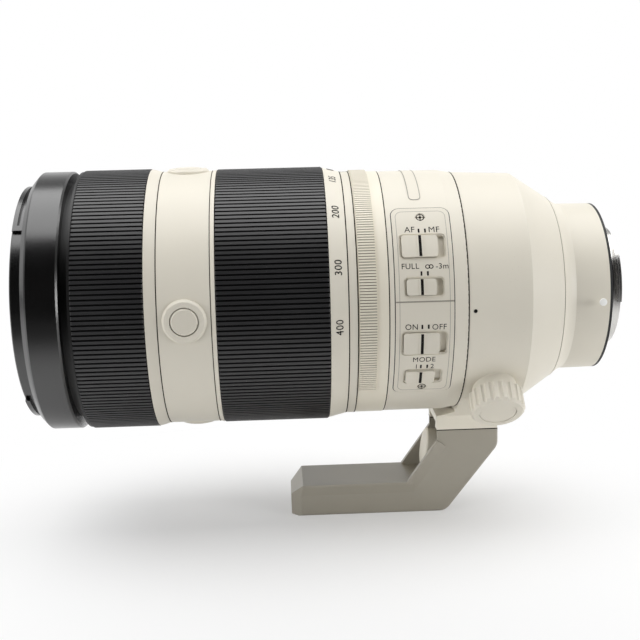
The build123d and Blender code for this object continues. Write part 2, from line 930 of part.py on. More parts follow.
# Switch barrel and panel

def make_switch_barrel():
    rear = collar_front_x - seam_gap / 2
    shoulder = collar_front_x - track_wall
    cone_rear = rear_barrel_front_x
    barrel = turned(
        (switch_barrel_front_x, switch_barrel_bore),
        (switch_barrel_front_x, switch_barrel_radius),
        (switch_taper_x, switch_barrel_radius),
        (rear, switch_barrel_rear_radius),
        (rear, track_radius),
        (track_cone_x, track_radius),
        (cone_rear, track_rear_radius),
        (cone_rear, rear_spigot_radius),
        (track_cone_x, track_radius - track_wall),
        (shoulder, track_radius - track_wall),
        (shoulder, switch_barrel_bore),
    )
    recess = rounded_sector(
        panel_front_x - panel_gap,
        panel_rear_x + panel_gap,
        switch_barrel_radius - panel_depth,
        switch_barrel_radius + overrun,
        panel_low_angle - degrees(panel_gap / switch_barrel_radius),
        panel_high_angle + degrees(panel_gap / switch_barrel_radius),
        panel_corner + panel_gap,
    )
    return barrel - recess


def make_switch_panel():
    inner = switch_barrel_radius - panel_depth
    outer = switch_barrel_radius + panel_proud
    plate = rounded_sector(
        panel_front_x, panel_rear_x, inner, outer, panel_low_angle, panel_high_angle, panel_corner
    )
    for angle, length, span in switches.values():
        plate -= slot_cut(angle, length, span, inner - overrun, 0)
        plate -= slot_cut(angle, length, span, outer - slot_rim_depth, slot_rim_width)
    half_width = degrees(panel_divider_width / outer) / 2
    plate -= sector(
        panel_front_x - overrun,
        panel_rear_x + overrun,
        outer - panel_divider_depth,
        outer + overrun,
        panel_divider_angle - half_width,
        panel_divider_angle + half_width,
    )
    for angle in panel_screw_angles:
        plate -= radial_pin(panel_middle_x, angle, inner - overrun, outer + overrun, panel_screw_radius)
    return plate


def slot_cut(angle, length, span, bottom, margin):
    """Cutter for a slot of the panel, from a radius outwards, wider than the slot by a margin."""
    half_span = span / 2 + degrees(margin / switch_barrel_radius)
    return rounded_sector(
        panel_middle_x - length / 2 - margin,
        panel_middle_x + length / 2 + margin,
        bottom,
        switch_barrel_radius + overrun,
        angle - half_span,
        angle + half_span,
        slot_corner + margin,
    )


def make_panel_screws():
    bottom = switch_barrel_radius - panel_depth
    top = switch_barrel_radius + panel_proud - panel_screw_inset
    screws = []
    for angle in panel_screw_angles:
        head = radial_pin(panel_middle_x, angle, bottom, top, panel_screw_radius)
        slot = Box(2 * panel_screw_radius, screw_slot_width, 2 * screw_slot_depth)
        cross = slot + Rot(0, 0, full_turn / 4) * slot
        screws.append(head - turned_to(angle, Pos(panel_middle_x, 0, top) * cross))
    return Compound([solid for screw in screws for solid in screw.solids()])


def make_switch(angle, length, span):
    inner = switch_barrel_radius - panel_depth + switch_floor_gap
    outer = switch_barrel_radius + switch_proud
    front = panel_middle_x - length / 2 + slide_clearance
    rear = panel_middle_x + length / 2 - slide_clearance - switch_travel
    half_span = span / 2 - degrees(slide_clearance / switch_barrel_radius)
    return rounded_sector(front, rear, inner, outer, angle - half_span, angle + half_span, slot_corner)


# Tripod collar and foot

def make_collar_ring():
    front = collar_front_x + seam_gap / 2
    rear = rear_barrel_front_x - seam_gap
    bore = track_radius + tube_clearance
    ring = turned(
        (front, bore),
        (front, collar_front_radius),
        (collar_cone_x, collar_cone_radius),
        (rear, collar_rear_radius),
        (rear, track_rear_radius + 2 * tube_clearance),
        (track_cone_x, bore),
    )
    track_space = tube(block_front_x - overrun, track_cone_x, 0, bore)
    boss = radial_pin(knob_x, knob_angle, track_radius, knob_base - boss_gap, boss_radius)
    ring += collar_block() - track_space
    ring += boss - track_space
    stud_bore = stud_radius + slide_clearance
    ring -= radial_pin(knob_x, knob_angle, track_radius - overrun, knob_base + overrun, stud_bore)
    return ring


def collar_block():
    """Foot of the collar ring: it flares out of the ring and overhangs forwards under the barrel."""
    flare_y, flare_z = ring_point(collar_front_radius, block_flare_angle)
    section = make_face(
        Polyline(
            (flare_y, flare_z),
            (-foot_half_width, block_shoulder_z),
            (-foot_half_width, block_bottom_z),
            (foot_half_width, block_bottom_z),
            (foot_half_width, block_shoulder_z),
            (-flare_y, flare_z),
            close=True,
        )
    )
    block = extrude(Plane.YZ.offset(block_front_x) * section, block_rear_x - block_front_x)
    side = make_face(
        Polyline(
            (block_front_x, block_bottom_z - overrun),
            (block_front_x, block_shoulder_z),
            (block_slope_x, block_slope_z),
            (collar_front_x, -collar_front_radius),
            (collar_front_x, 0),
            (block_rear_x, 0),
            (block_rear_x, block_bottom_z - overrun),
            close=True,
        )
    )
    block = block & extrude(Plane.XZ * side, collar_front_radius, both=True)
    front = collar_front_x + seam_gap / 2
    block -= tube(block_front_x - overrun, front, 0, switch_barrel_radius + tube_clearance)
    return block - foot_rail(slide_clearance, block_front_x - overrun, tenon_rear_x + slide_clearance)


def foot_rail(clearance, front, rear):
    """Dovetail on top of the foot; with a clearance it is the groove of the collar that holds it."""
    neck = tenon_neck_half_width + clearance
    head = tenon_half_width + clearance
    top = foot_top_z + tenon_height + clearance
    section = make_face(
        Polyline((-neck, foot_top_z), (-head, top), (head, top), (neck, foot_top_z), close=True)
    )
    return extrude(Plane.YZ.offset(front) * section, rear - front)


def make_collar_knob():
    profile = Circle(knob_radius)
    reach = knob_radius + knob_groove_radius - knob_groove_depth
    for location in PolarLocations(reach, knob_groove_count):
        profile -= location * Circle(knob_groove_radius)
    top = knob_base + knob_length
    body = extrude(Plane.XY.offset(knob_base) * profile, knob_length)
    bevel = Pos(0, 0, knob_base + knob_length / 2) * Cylinder(knob_radius, knob_length)
    bevel = chamfer(bevel.edges().group_by(Axis.Z)[-1], knob_edge)
    body = body & bevel
    ring_groove = Pos(0, 0, top) * Cylinder(knob_cap_radius, 2 * knob_cap_depth)
    body -= ring_groove
    cap_height = knob_cap_depth - knob_cap_gap
    cap_middle = top - knob_cap_depth + cap_height / 2
    body += Pos(0, 0, cap_middle) * Cylinder(knob_cap_radius - knob_cap_gap, cap_height)
    stud_bottom = track_radius + shoe_gap
    body += Pos(0, 0, (stud_bottom + knob_base) / 2) * Cylinder(stud_radius, knob_base - stud_bottom)
    return turned_to(knob_angle, Pos(knob_x, 0, 0) * body)


def edge_direction():
    """Unit vector up the front edge of the arm, in side view."""
    run = arm_top_front_x - arm_corner_x
    rise = arm_top_front_z - bar_top_z
    length = sqrt(run**2 + rise**2)
    return run / length, rise / length


def foot_outline():
    outline = make_face(
        Polyline(
            (bar_front_x, bar_top_z),
            (arm_corner_x, bar_top_z),
            (arm_top_front_x, arm_top_front_z),
            (arm_top_front_x, foot_top_z),
            (arm_rear_x, foot_top_z),
            (arm_rear_x, arm_rear_z),
            (heel_x, foot_bottom_z),
            (bar_front_x, foot_bottom_z),
            close=True,
        )
    )
    heel = outline.vertices().sort_by_distance((heel_x, foot_bottom_z, 0))[0]
    outline = fillet(heel, heel_radius)
    back = outline.vertices().sort_by_distance((arm_rear_x, arm_rear_z, 0))[0]
    return fillet(back, arm_rear_radius)


def lower_edges(body):
    """Long edges of the sides that run along the underside, the heel and the rear of the arm."""
    edges = body.faces().filter_by(Axis.Y).edges()
    sides = [edge for edge in edges if abs(abs(edge.center().Y) - foot_half_width) < foot_edge_radius]
    underside = [edge for edge in sides if edge.center().Z < bar_top_z - foot_edge_radius]
    middle_x = (heel_x + arm_top_front_x) / 2
    rear = [edge for edge in sides if edge.center().X > middle_x and edge not in underside]
    return [edge for edge in underside + rear if edge.center().Z < foot_top_z - foot_edge_radius]


def flare_section():
    """Section of the wider rim along the top of the bar, seen from the front."""
    wide = foot_half_width + foot_flare_width
    return make_face(
        Polyline(
            (-foot_half_width, -foot_flare_depth),
            (-wide, -foot_flare_land),
            (-wide, 0),
            (wide, 0),
            (wide, -foot_flare_land),
            (foot_half_width, -foot_flare_depth),
            close=True,
        )
    )


def make_foot():
    up_x, up_z = edge_direction()
    mitre = foot_flare_depth * (1 - up_x) / up_z
    body = extrude(Plane.XZ * foot_outline(), foot_half_width, both=True)
    body = fillet(lower_edges(body), foot_edge_radius)
    bar_plane = Plane(origin=(bar_front_x, 0, bar_top_z), x_dir=(0, 1, 0), z_dir=(1, 0, 0))
    body += extrude(bar_plane * flare_section(), arm_corner_x + mitre - bar_front_x)
    arm_plane = Plane(origin=(arm_corner_x, 0, bar_top_z), x_dir=(0, 1, 0), z_dir=(up_x, 0, up_z))
    arm_edge = sqrt((arm_top_front_x - arm_corner_x) ** 2 + (arm_top_front_z - bar_top_z) ** 2)
    body += extrude(arm_plane * flare_section(), arm_edge)
    body -= toe_cut()
    channel = make_face(
        Polyline(
            (arm_corner_x - overrun, bar_top_z),
            (arm_corner_x + channel_depth, bar_top_z),
            (arm_top_front_x + channel_depth, arm_top_front_z),
            (arm_top_front_x + channel_depth, foot_top_z + overrun),
            (arm_top_front_x - overrun, foot_top_z + overrun),
            (arm_top_front_x - overrun, arm_top_front_z),
            close=True,
        )
    )
    body -= extrude(Plane.XZ * channel, foot_half_width - channel_wall, both=True)
    body += foot_rail(0, tenon_front_x, tenon_rear_x)
    socket = Pos(insert_x, 0, foot_bottom_z) * Cylinder(insert_radius, 2 * insert_length)
    shaft = lock_plane() * Pos(0, 0, -lock_shaft_length / 2)
    shaft = shaft * Cylinder(lock_shaft_radius + slide_clearance, lock_shaft_length + overrun)
    return body - socket - shaft


def toe_cut():
    """Slanted corners of the front end of the bar, and the bevel over its top edge."""
    wide = foot_half_width + foot_flare_width
    corner = make_face(
        Polyline(
            (bar_front_x, -wide),
            (bar_front_x + toe_chamfer, -wide),
            (bar_front_x, toe_chamfer - wide),
            close=True,
        )
    )
    height = bar_top_z - foot_bottom_z
    near_corner = extrude(Plane.XY.offset(foot_bottom_z) * corner, height)
    far_corner = mirror(near_corner, Plane.XZ)
    bevel = make_face(
        Polyline(
            (bar_front_x, bar_top_z),
            (bar_front_x + toe_chamfer, bar_top_z),
            (bar_front_x, bar_top_z - toe_chamfer),
            close=True,
        )
    )
    return near_corner + far_corner + extrude(Plane.XZ * bevel, wide, both=True)


def make_foot_thread_insert():
    middle = foot_bottom_z + insert_length / 2
    ring = Cylinder(insert_radius, insert_length) - Cylinder(tripod_thread_radius, insert_length)
    return Pos(insert_x, 0, middle) * ring


def lock_plane():
    """Face of the lock knob: it looks forwards and a little up."""
    return Plane(
        origin=(lock_x, 0, lock_z),
        x_dir=(0, 1, 0),
        z_dir=(-cos(radians(lock_tilt)), 0, sin(radians(lock_tilt))),
    )


def make_foot_lock_knob():
    disc = Pos(0, 0, -lock_thickness / 2) * Cylinder(lock_radius, lock_thickness)
    disc = chamfer(disc.edges().filter_by(GeomType.CIRCLE), lock_edge)
    shaft = Pos(0, 0, -lock_shaft_length / 2) * Cylinder(lock_shaft_radius, lock_shaft_length)
    return lock_plane() * (disc + shaft)


# Rear barrel and bayonet mount

def make_rear_barrel():
    bore = rear_barrel_radius - rear_barrel_wall
    middle_x = (rear_barrel_front_x + rear_cone_end_x) / 2
    middle_radius = (collar_rear_radius + rear_fillet_radius) / 2 - small_chamfer
    bulkhead_rear = bulkhead_x + bulkhead_thickness
    start = (rear_barrel_front_x, collar_rear_radius)
    end = (rear_cone_end_x, rear_fillet_radius)
    outline = [
        ThreePointArc(start, (middle_x, middle_radius), end),
        Polyline(
            end,
            (mount_seal_x, rear_barrel_radius),
            (mount_seal_x, bore),
            (bulkhead_rear, bore),
            (bulkhead_rear, bulkhead_bore),
            (bulkhead_x, bulkhead_bore),
            (bulkhead_x, rear_spigot_radius),
            (rear_barrel_front_x, rear_spigot_radius),
            start,
        ),
    ]
    return revolve(make_face(outline), Axis.X)


def make_mount_seal():
    return tube(mount_seal_x, mount_face_x, flange_radius, rear_barrel_radius)


def make_bayonet_mount():
    bore = rear_barrel_radius - rear_barrel_wall
    hub_bore = hub_radius - hub_wall
    mount = turned(
        (hub_front_x, hub_bore),
        (hub_front_x, hub_radius),
        (-flange_depth, hub_radius),
        (-flange_depth, bore),
        (mount_seal_x, bore),
        (mount_seal_x, flange_radius),
        (mount_face_x, flange_radius),
        (mount_face_x, hub_radius),
        (hub_rear_x, hub_radius),
        (hub_rear_x, hub_bore),
    )
    tab_front = hub_rear_x - bayonet_tab_length
    for angle in bayonet_tab_angles:
        low = angle - bayonet_tab_span / 2
        high = angle + bayonet_tab_span / 2
        mount += sector(tab_front, hub_rear_x, hub_bore, bayonet_tab_radius, low, high)
    front = -flange_depth - overrun
    rear = mount_face_x + overrun
    for angle in mount_screw_angles:
        mount -= axial_pin(front, rear, angle, mount_screw_pitch_radius, mount_screw_radius)
    return mount - axial_pin(front, rear, lock_notch_angle, lock_notch_pitch_radius, lock_notch_radius)


def make_mount_screws():
    screws = []
    tip = mount_face_x - mount_screw_length
    for angle in mount_screw_angles:
        screw = axial_pin(tip, mount_face_x, angle, mount_screw_pitch_radius, mount_screw_radius)
        slot = Box(2 * screw_slot_depth, screw_slot_width, 2 * mount_screw_radius)
        slot += Rot(full_turn / 4, 0, 0) * slot
        screw -= turned_to(angle, Pos(mount_face_x, 0, mount_screw_pitch_radius) * slot)
        screws += screw.solids()
    return Compound(screws)


def contact_angles():
    middle = (contact_count - 1) / 2
    return [top_side + (index - middle) * contact_pitch for index in range(contact_count)]


def contact_pin_pitch_radius():
    return (contact_inner_radius + hub_radius - hub_wall) / 2


def make_contact_block():
    low = top_side - contact_block_span / 2
    high = top_side + contact_block_span / 2
    hub_bore = hub_radius - hub_wall
    block = sector(mount_face_x, contact_block_rear_x, contact_inner_radius, hub_bore, low, high)
    start = contact_block_rear_x + contact_pin_proud - contact_pin_length
    for angle in contact_angles():
        block -= axial_pin(
            start, contact_block_rear_x + overrun, angle, contact_pin_pitch_radius(), contact_pin_radius
        )
    return block


def make_contact_pins():
    end = contact_block_rear_x + contact_pin_proud
    start = end - contact_pin_length
    return Compound(
        [
            axial_pin(start, end, angle, contact_pin_pitch_radius(), contact_pin_radius)
            for angle in contact_angles()
        ]
    )


def make_rear_baffle():
    outer = hub_radius - hub_wall
    inner = outer - rear_cell_wall
    plate_x = rear_cell_rear_x - rear_window_depth
    cell = tube(rear_cell_front_x, rear_cell_rear_x, inner, outer)
    plate = tube(plate_x, rear_cell_rear_x, 0, inner)
    window = Box(2 * overrun + rear_window_depth, rear_window_width, rear_window_height)
    return cell + (plate - Pos((plate_x + rear_cell_rear_x) / 2, 0, 0) * window)


def make_rear_lens():
    radius = hub_radius - hub_wall - rear_cell_wall
    return glass(rear_glass_front_x, rear_glass_thickness, radius, rear_glass_bulge, -rear_glass_hollow)


def make_main_board():
    outer = rear_barrel_radius - rear_barrel_wall
    return tube(board_front_x, board_front_x + board_thickness, board_bore, outer)


# Inner groups

def make_group_2_cell():
    outer = guide_bore - tube_clearance
    front = group_x - group_cell_length / 2
    cell = tube(front, group_x + group_cell_length / 2, outer - group_cell_wall, outer)
    roller_foot = outer - group_cell_wall / 2
    roller_top = cam_radius - slide_clearance
    for angle in group_angles():
        cell += radial_pin(group_x, angle, roller_foot, roller_top, roller_radius)
    return cell


def make_group_2_lens():
    radius = guide_bore - tube_clearance - group_cell_wall
    front = group_x - group_glass_thickness / 2
    return glass(front, group_glass_thickness, radius, group_glass_bulge, -group_glass_hollow)


def make_stabiliser_housing():
    """Cup in the guide barrel that holds the iris in front and the stabiliser behind."""
    bore = guide_bore - housing_wall
    plate_rear = housing_plate_x + housing_plate_thickness
    back_front = housing_rear_x - housing_plate_thickness
    housing = tube(housing_front_x, housing_rear_x, bore, guide_bore)
    housing += tube(housing_plate_x, plate_rear, housing_aperture, bore)
    housing += tube(back_front, housing_rear_x, housing_aperture, bore)
    post_root = housing_plate_x + housing_plate_thickness / 2
    for index in range(blade_count):
        tip = blade_front_x(index)
        housing += axial_pin(tip, post_root, blade_angle(index), blade_pivot_radius, blade_post_radius)
    return housing


def blade_angle(index):
    return top_side + index * full_turn / blade_count


def blade_front_x(index):
    return housing_plate_x - (blade_count - index) * blade_spacing


def make_iris_ring():
    rear = iris_ring_front_x + iris_ring_thickness
    return tube(iris_ring_front_x, rear, iris_ring_bore, iris_ring_radius)


def make_iris_blade(index):
    front = blade_front_x(index)
    rear = front + blade_thickness
    pivot = blade_angle(index)
    outer = blade_inner_radius + blade_width
    blade = sector(front, rear, blade_inner_radius, outer, pivot - blade_span, pivot)
    ear = axial_pin(front, rear, pivot, blade_pivot_radius, blade_ear_radius)
    neck = sector(
        front,
        rear,
        outer - blade_ear_radius,
        blade_pivot_radius,
        pivot - degrees(blade_ear_radius / blade_pivot_radius),
        pivot,
    )
    hole = axial_pin(
        front - overrun, rear + overrun, pivot, blade_pivot_radius, blade_post_radius + blade_post_clearance
    )
    return blade + neck + ear - hole


def stabiliser_front_x():
    return housing_plate_x + housing_plate_thickness + tube_clearance


def make_stabiliser_frame():
    front = stabiliser_front_x()
    return tube(front, front + frame_thickness, frame_bore, frame_radius)


def make_stabiliser_cell():
    front = stabiliser_front_x() + frame_thickness + tube_clearance
    return tube(front, front + stabiliser_cell_length, stabiliser_glass_radius, stabiliser_cell_radius)


def make_stabiliser_lens():
    front = stabiliser_front_x() + frame_thickness + tube_clearance
    front += (stabiliser_cell_length - stabiliser_glass_thickness) / 2
    return glass(
        front,
        stabiliser_glass_thickness,
        stabiliser_glass_radius,
        stabiliser_glass_bulge,
        -stabiliser_glass_bulge / 2,
    )


def make_focus_rails():
    rails = [
        axial_pin(housing_rear_x, bulkhead_x, angle, rod_pitch_radius, rod_radius) for angle in rod_angles
    ]
    middle = (housing_rear_x + yoke_rear_x) / 2
    for angle in yoke_angles:
        yoke = Box(yoke_rear_x - housing_rear_x, yoke_width, yoke_thickness)
        rails.append(turned_to(angle, Pos(middle, 0, yoke_radius) * yoke))
    return Compound([solid for rail in rails for solid in rail.solids()])


def make_carrier(front):
    rear = front + carrier_length
    bore = rod_radius + ring_clearance
    carrier = tube(front, rear, carrier_glass_radius, carrier_radius)
    for angle in rod_angles:
        carrier -= axial_pin(front - overrun, rear + overrun, angle, rod_pitch_radius, bore)
    return carrier


def make_carrier_lens(front):
    start = front + (carrier_length - carrier_glass_thickness) / 2
    return glass(
        start,
        carrier_glass_thickness,
        carrier_glass_radius,
        carrier_glass_bulge,
        -carrier_glass_hollow,
    )


# Every node and its shape
nodes = {
    "hood_mount_ring": make_hood_mount_ring(),
    "front_cell": make_front_cell(),
    "front_retainer": make_front_retainer(),
    "front_glass": make_front_glass(),
    "extension_tube": make_extension_tube(),
    "tube_rollers": make_tube_rollers(),
    "outer_barrel": make_outer_barrel(),
    "button_band": make_button_band(),
    "guide_barrel": make_guide_barrel(),
    "cam_barrel": make_cam_barrel(),
    "focus_sleeve": make_focus_sleeve(),
    "focus_grip": make_focus_grip(),
    "zoom_sleeve": make_zoom_sleeve(),
    "zoom_grip": make_zoom_grip(),
    "torque_ring": make_torque_ring(),
    "switch_barrel": make_switch_barrel(),
    "switch_panel": make_switch_panel(),
    "panel_screws": make_panel_screws(),
    "collar_ring": make_collar_ring(),
    "collar_knob": make_collar_knob(),
    "foot": make_foot(),
    "foot_thread_insert": make_foot_thread_insert(),
    "foot_lock_knob": make_foot_lock_knob(),
    "rear_barrel": make_rear_barrel(),
    "mount_seal": make_mount_seal(),
    "bayonet_mount": make_bayonet_mount(),
    "mount_screws": make_mount_screws(),
    "contact_block": make_contact_block(),
    "contact_pins": make_contact_pins(),
    "rear_baffle": make_rear_baffle(),
    "rear_lens": make_rear_lens(),
    "main_board": make_main_board(),
    "group_2_cell": make_group_2_cell(),
    "group_2_lens": make_group_2_lens(),
    "stabiliser_housing": make_stabiliser_housing(),
    "iris_ring": make_iris_ring(),
    "stabiliser_frame": make_stabiliser_frame(),
    "stabiliser_cell": make_stabiliser_cell(),
    "stabiliser_lens": make_stabiliser_lens(),
    "focus_rails": make_focus_rails(),
    "front_focus_cell": make_carrier(front_carrier_x),
    "front_focus_lens": make_carrier_lens(front_carrier_x),
    "rear_focus_cell": make_carrier(rear_carrier_x),
    "rear_focus_lens": make_carrier_lens(rear_carrier_x),
}
for name, angle in button_angles.items():
    nodes[f"focus_hold_button_{name}"] = make_button(angle)
for name, (angle, length, span) in switches.items():
    nodes[name] = make_switch(angle, length, span)
for index in range(blade_count):
    nodes[f"iris_blade_{index + 1}"] = make_iris_blade(index)

os.makedirs("parts", exist_ok=True)
for node, shape in nodes.items():
    export_step(shape, f"parts/{node}.step")
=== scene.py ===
from math import cos, pi, radians, sin

import bpy
from mathutils import Matrix, Vector


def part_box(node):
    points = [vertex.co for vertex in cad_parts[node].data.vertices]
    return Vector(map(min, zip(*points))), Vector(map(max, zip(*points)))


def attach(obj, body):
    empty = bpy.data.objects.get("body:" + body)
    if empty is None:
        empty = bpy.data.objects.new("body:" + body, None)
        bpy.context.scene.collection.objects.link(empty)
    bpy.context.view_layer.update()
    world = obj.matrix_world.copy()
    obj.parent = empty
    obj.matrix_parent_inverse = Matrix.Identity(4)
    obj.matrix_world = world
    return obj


bl_info = {
    "name": "Telephoto zoom lens",
    "version": (1, 0, 0),
    "blender": (4, 5, 0),
    "location": "3D View > Sidebar > Lens",
    "description": "Finishes, markings and small trim of a white telephoto zoom lens with a tripod foot",
    "category": "Object",
}

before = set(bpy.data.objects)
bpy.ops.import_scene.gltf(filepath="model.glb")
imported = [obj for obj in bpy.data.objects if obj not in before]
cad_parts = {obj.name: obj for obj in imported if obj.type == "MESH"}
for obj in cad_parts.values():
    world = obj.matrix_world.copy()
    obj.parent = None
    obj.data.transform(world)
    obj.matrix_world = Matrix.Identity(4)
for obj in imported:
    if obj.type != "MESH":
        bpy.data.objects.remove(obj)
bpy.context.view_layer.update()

# The lens axis is X with the front of the lens at -X. Angles round it are in degrees: 0 is the switch
# side, which faces -Y, 90 the top and -90 the foot. Lengths are in metres, but in millimetres in the
# tables of labels, seams and ribs.
MM = 0.001


def low(node):
    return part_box(node)[0]


def high(node):
    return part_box(node)[1]


# Radii that the printed marks and the trim lie on
SWITCH_RADIUS = high("switch_barrel").z
PANEL_PROUD = 0.15 * MM
PANEL_RADIUS = SWITCH_RADIUS + PANEL_PROUD
SLIDER_PROUD = 0.75 * MM
SLIDER_RADIUS = SWITCH_RADIUS + SLIDER_PROUD
INDEX_BAND_RADIUS = 44.4 * MM
SCALE_RADIUS = 45.27 * MM
COLLAR_RADIUS = high("collar_ring").z
REAR_RADIUS = high("rear_barrel").z
BLOCK_BOTTOM_Z = low("collar_ring").z
FLOOR_Z = low("foot").z

# Print: how far ink stands out of the surface and how far it reaches into it
INK_PROUD = 0.02 * MM
INK_DEPTH = 0.05 * MM
INK_CORNER_SHARE = 0.45
CAP_HEIGHT_SHARE = 0.69
LETTER_SPACING = 1.06
LETTER_STEPS = 4

# Zoom scale: the number and its angle when the zoom is at its shortest
SCALE_MARKS = {"100": 90.0, "135": 71.5, "200": 47.2, "300": 20.6, "400": -4.8}
SCALE_X = -95.8 * MM
SCALE_CONE_SLOPE = -0.25
INDEX_LINE_X = -91.15 * MM
INDEX_LINE_LENGTH = 2.3 * MM
INDEX_LINE_WIDTH = 0.5 * MM
INDEX_LINE_ANGLE = 90.0

# Switch panel: its edges, the black seam round it, the border line and the divider. The seam is painted
# shade in the gap round the panel, and the border line and the divider are painted shade of its steps
PANEL_FRONT_X = -77.2 * MM
PANEL_REAR_X = -57.6 * MM
PANEL_LOW_ANGLE = -43.0
PANEL_HIGH_ANGLE = 49.1
PANEL_CORNER = 3.0 * MM
PANEL_LINE = 0.3 * MM
PANEL_SEAM_SUNK = 0.04 * MM
PANEL_SEAM_DEPTH = 0.4 * MM
PANEL_STEPS = 40
BORDER_INSET = 1.3 * MM
BORDER_LINE = 0.16 * MM
DIVIDER_ANGLE = 5.1
DIVIDER_HEIGHT = 0.44 * MM
DIVIDER_SUNK = 0.08 * MM
DIVIDER_DEPTH = 0.38 * MM

# Screws of the panel: a dark ring with a dark middle
SCREW_ANGLES = {"upper_screw_mark": 44.0, "lower_screw_mark": -39.0}
SCREW_MARK_RADIUS = 1.25 * MM
SCREW_MARK_LINE = 0.16 * MM
SCREW_MARK_SEGMENTS = 32
SCREW_MARK_SCALE = (1.0, 1.0, 0.3)
SCREW_CENTRE_RADIUS = 0.45 * MM
SCREW_DEPTH = 0.05 * MM

# Labels on the panel: text, place along the axis, angle, cap height
LABELS = {
    "label_af": ("AF", -71.4, 37.4, 2.1),
    "label_mf": ("MF", -63.2, 37.2, 2.1),
    "label_full": ("FULL", -72.0, 20.4, 1.85),
    "label_near": ("-3m", -61.3, 20.2, 1.85),
    "label_on": ("ON", -71.9, -6.1, 1.9),
    "label_off": ("OFF", -62.6, -6.3, 1.9),
    "label_mode": ("MODE", -67.4, -22.1, 1.85),
    "label_one": ("1", -69.9, -25.9, 1.85),
    "label_two": ("2", -64.5, -25.9, 1.85),
}
INFINITY_X = -65.6 * MM
INFINITY_ANGLE = 20.2
INFINITY_RADIUS = 0.6 * MM
INFINITY_LINE = 0.15 * MM
INFINITY_SEGMENTS = 24
INFINITY_SCALE = (1.08, 1.0, 0.25)
TICK_ANGLES = {"ticks_focus": 36.9, "ticks_range": 17.25, "ticks_steady": -6.0, "ticks_mode": -25.8}
TICK_PLACES = (-68.35 * MM, -66.2 * MM)
TICK_WIDTH = 0.6 * MM
TICK_HEIGHT = 1.5 * MM

# Slide switches: angle, height of the slider round the barrel
SLIDERS = {
    "focus_mode_switch": (29.4, 7.6 * MM),
    "focus_range_switch": (11.4, 5.4 * MM),
    "stabiliser_switch": (-13.7, 7.6 * MM),
    "stabiliser_mode_switch": (-31.7, 5.4 * MM),
}
SLIDER_LINE_X = -68.3 * MM
SLIDER_LINE_WIDTH = 0.95 * MM
SLIDER_LINE_SHARE = 0.98
SLIDER_RIDGE_WIDTH = 1.9 * MM
SLIDER_RIDGE_PROUD = 0.22 * MM
SLIDER_RIDGE_DEPTH = 0.5 * MM
SLIDER_CORNER = 0.1 * MM
SLIDER_EDGE = 0.12 * MM
SLIDER_EDGE_ANGLE = 60
SLIDER_STEPS = 6

# Bare nameplate above the panel
PLATE_FRONT_X = -70.5 * MM
PLATE_REAR_X = -66.3 * MM
PLATE_LOW_ANGLE = 54.5
PLATE_HIGH_ANGLE = 124.0
PLATE_CORNER = 1.6 * MM
PLATE_PROUD = 0.1 * MM
PLATE_DEPTH = 0.3 * MM
PLATE_LINE_PROUD = 0.16 * MM
PLATE_LINE_DEPTH = 0.1 * MM
PLATE_STEPS = 30

# Index dots
COLLAR_DOT_X = -50.3 * MM
COLLAR_DOT_RADIUS = 0.65 * MM
COLLAR_DOT_PROUD = 0.05 * MM
COLLAR_DOT_DEPTH = 0.2 * MM
MOUNT_DOT_X = -4.25 * MM
MOUNT_DOT_ANGLE = -0.3
MOUNT_DOT_RADIUS = 1.3 * MM
MOUNT_DOT_PROUD = 0.12 * MM
MOUNT_DOT_DEPTH = 0.3 * MM

# Front: filter thread and the grooved baffle round the glass
THREAD_FRONT_X = -204.6 * MM
THREAD_RADIUS = 38.1 * MM
THREAD_DEPTH = 0.3 * MM
THREAD_PITCH = 0.75 * MM
THREAD_TURNS = 5
BAFFLE_FRONT_X = -199.8 * MM
BAFFLE_STEP = 0.65 * MM
BAFFLE_STEPS = 3
BAFFLE_OUTER = 36.9 * MM
BAFFLE_LEDGE = 0.55 * MM

# Thin gaps between the rings: front, rear and outer radius of the band of painted shadow that fills
# each, and its finish
SEAMS = {
    "focus_seam": (-156.29, -155.95, 45.93, "seam_shadow"),
    "band_seam": (-138.48, -138.21, 45.93, "seam_shadow"),
    "index_seam": (-92.89, -92.50, 44.43, "seam_shadow"),
    "torque_front_seam": (-89.86, -89.51, 44.43, "seam_shadow"),
    "torque_rear_seam": (-79.39, -79.02, 44.13, "seam_shadow"),
    "collar_seam": (-52.76, -52.31, 43.33, "seam_shadow"),
    "collar_rear_seam": (-17.59, -17.35, 33.3, "groove_shade"),
}
SEAM_DEPTH = 1.0 * MM

# Painted shadow along the lower edge of the collar's block on both sides of the groove, where the foot
# meets it
FOOT_SEAM_SIDES = {"foot_seam_near": -1, "foot_seam_far": 1}
FOOT_SEAM_FRONT_X = -58.72 * MM
FOOT_SEAM_REAR_X = -35.98 * MM
FOOT_SEAM_INNER = 6.3 * MM
FOOT_SEAM_OUTER = 10.62 * MM
FOOT_SEAM_CORNER = 0.03 * MM
FOOT_SEAM_PROUD = 0.15 * MM
FOOT_SEAM_DEPTH = 0.2 * MM

# Ribbed bands whose grooves get painted shade: front and rear of the ribs, radius of the grooves and of
# the crests. The torque ring has no ribs under a height of its own.
TORQUE_RIBS = (-89.1, -83.4, 44.55, 44.85)
TORQUE_LOWEST = -28.6
FOCUS_RIBS = (-184.2, -160.1, 46.45, 47.0)
ZOOM_RIBS = (-136.8, -98.9, 45.8, 46.3)
NO_LOWEST = -100.0

# Meshing
RING_SEGMENTS = 192
DOT_SEGMENTS = 40
LINE_SIDES = 8
PLATE_CORNER_STEPS = 5
FRAME_CORNER_STEPS = 6
MERGE_DISTANCE = 0.001 * MM
SMOOTH_ANGLE = 30.0
TRIM_SMOOTH_ANGLE = 20.0

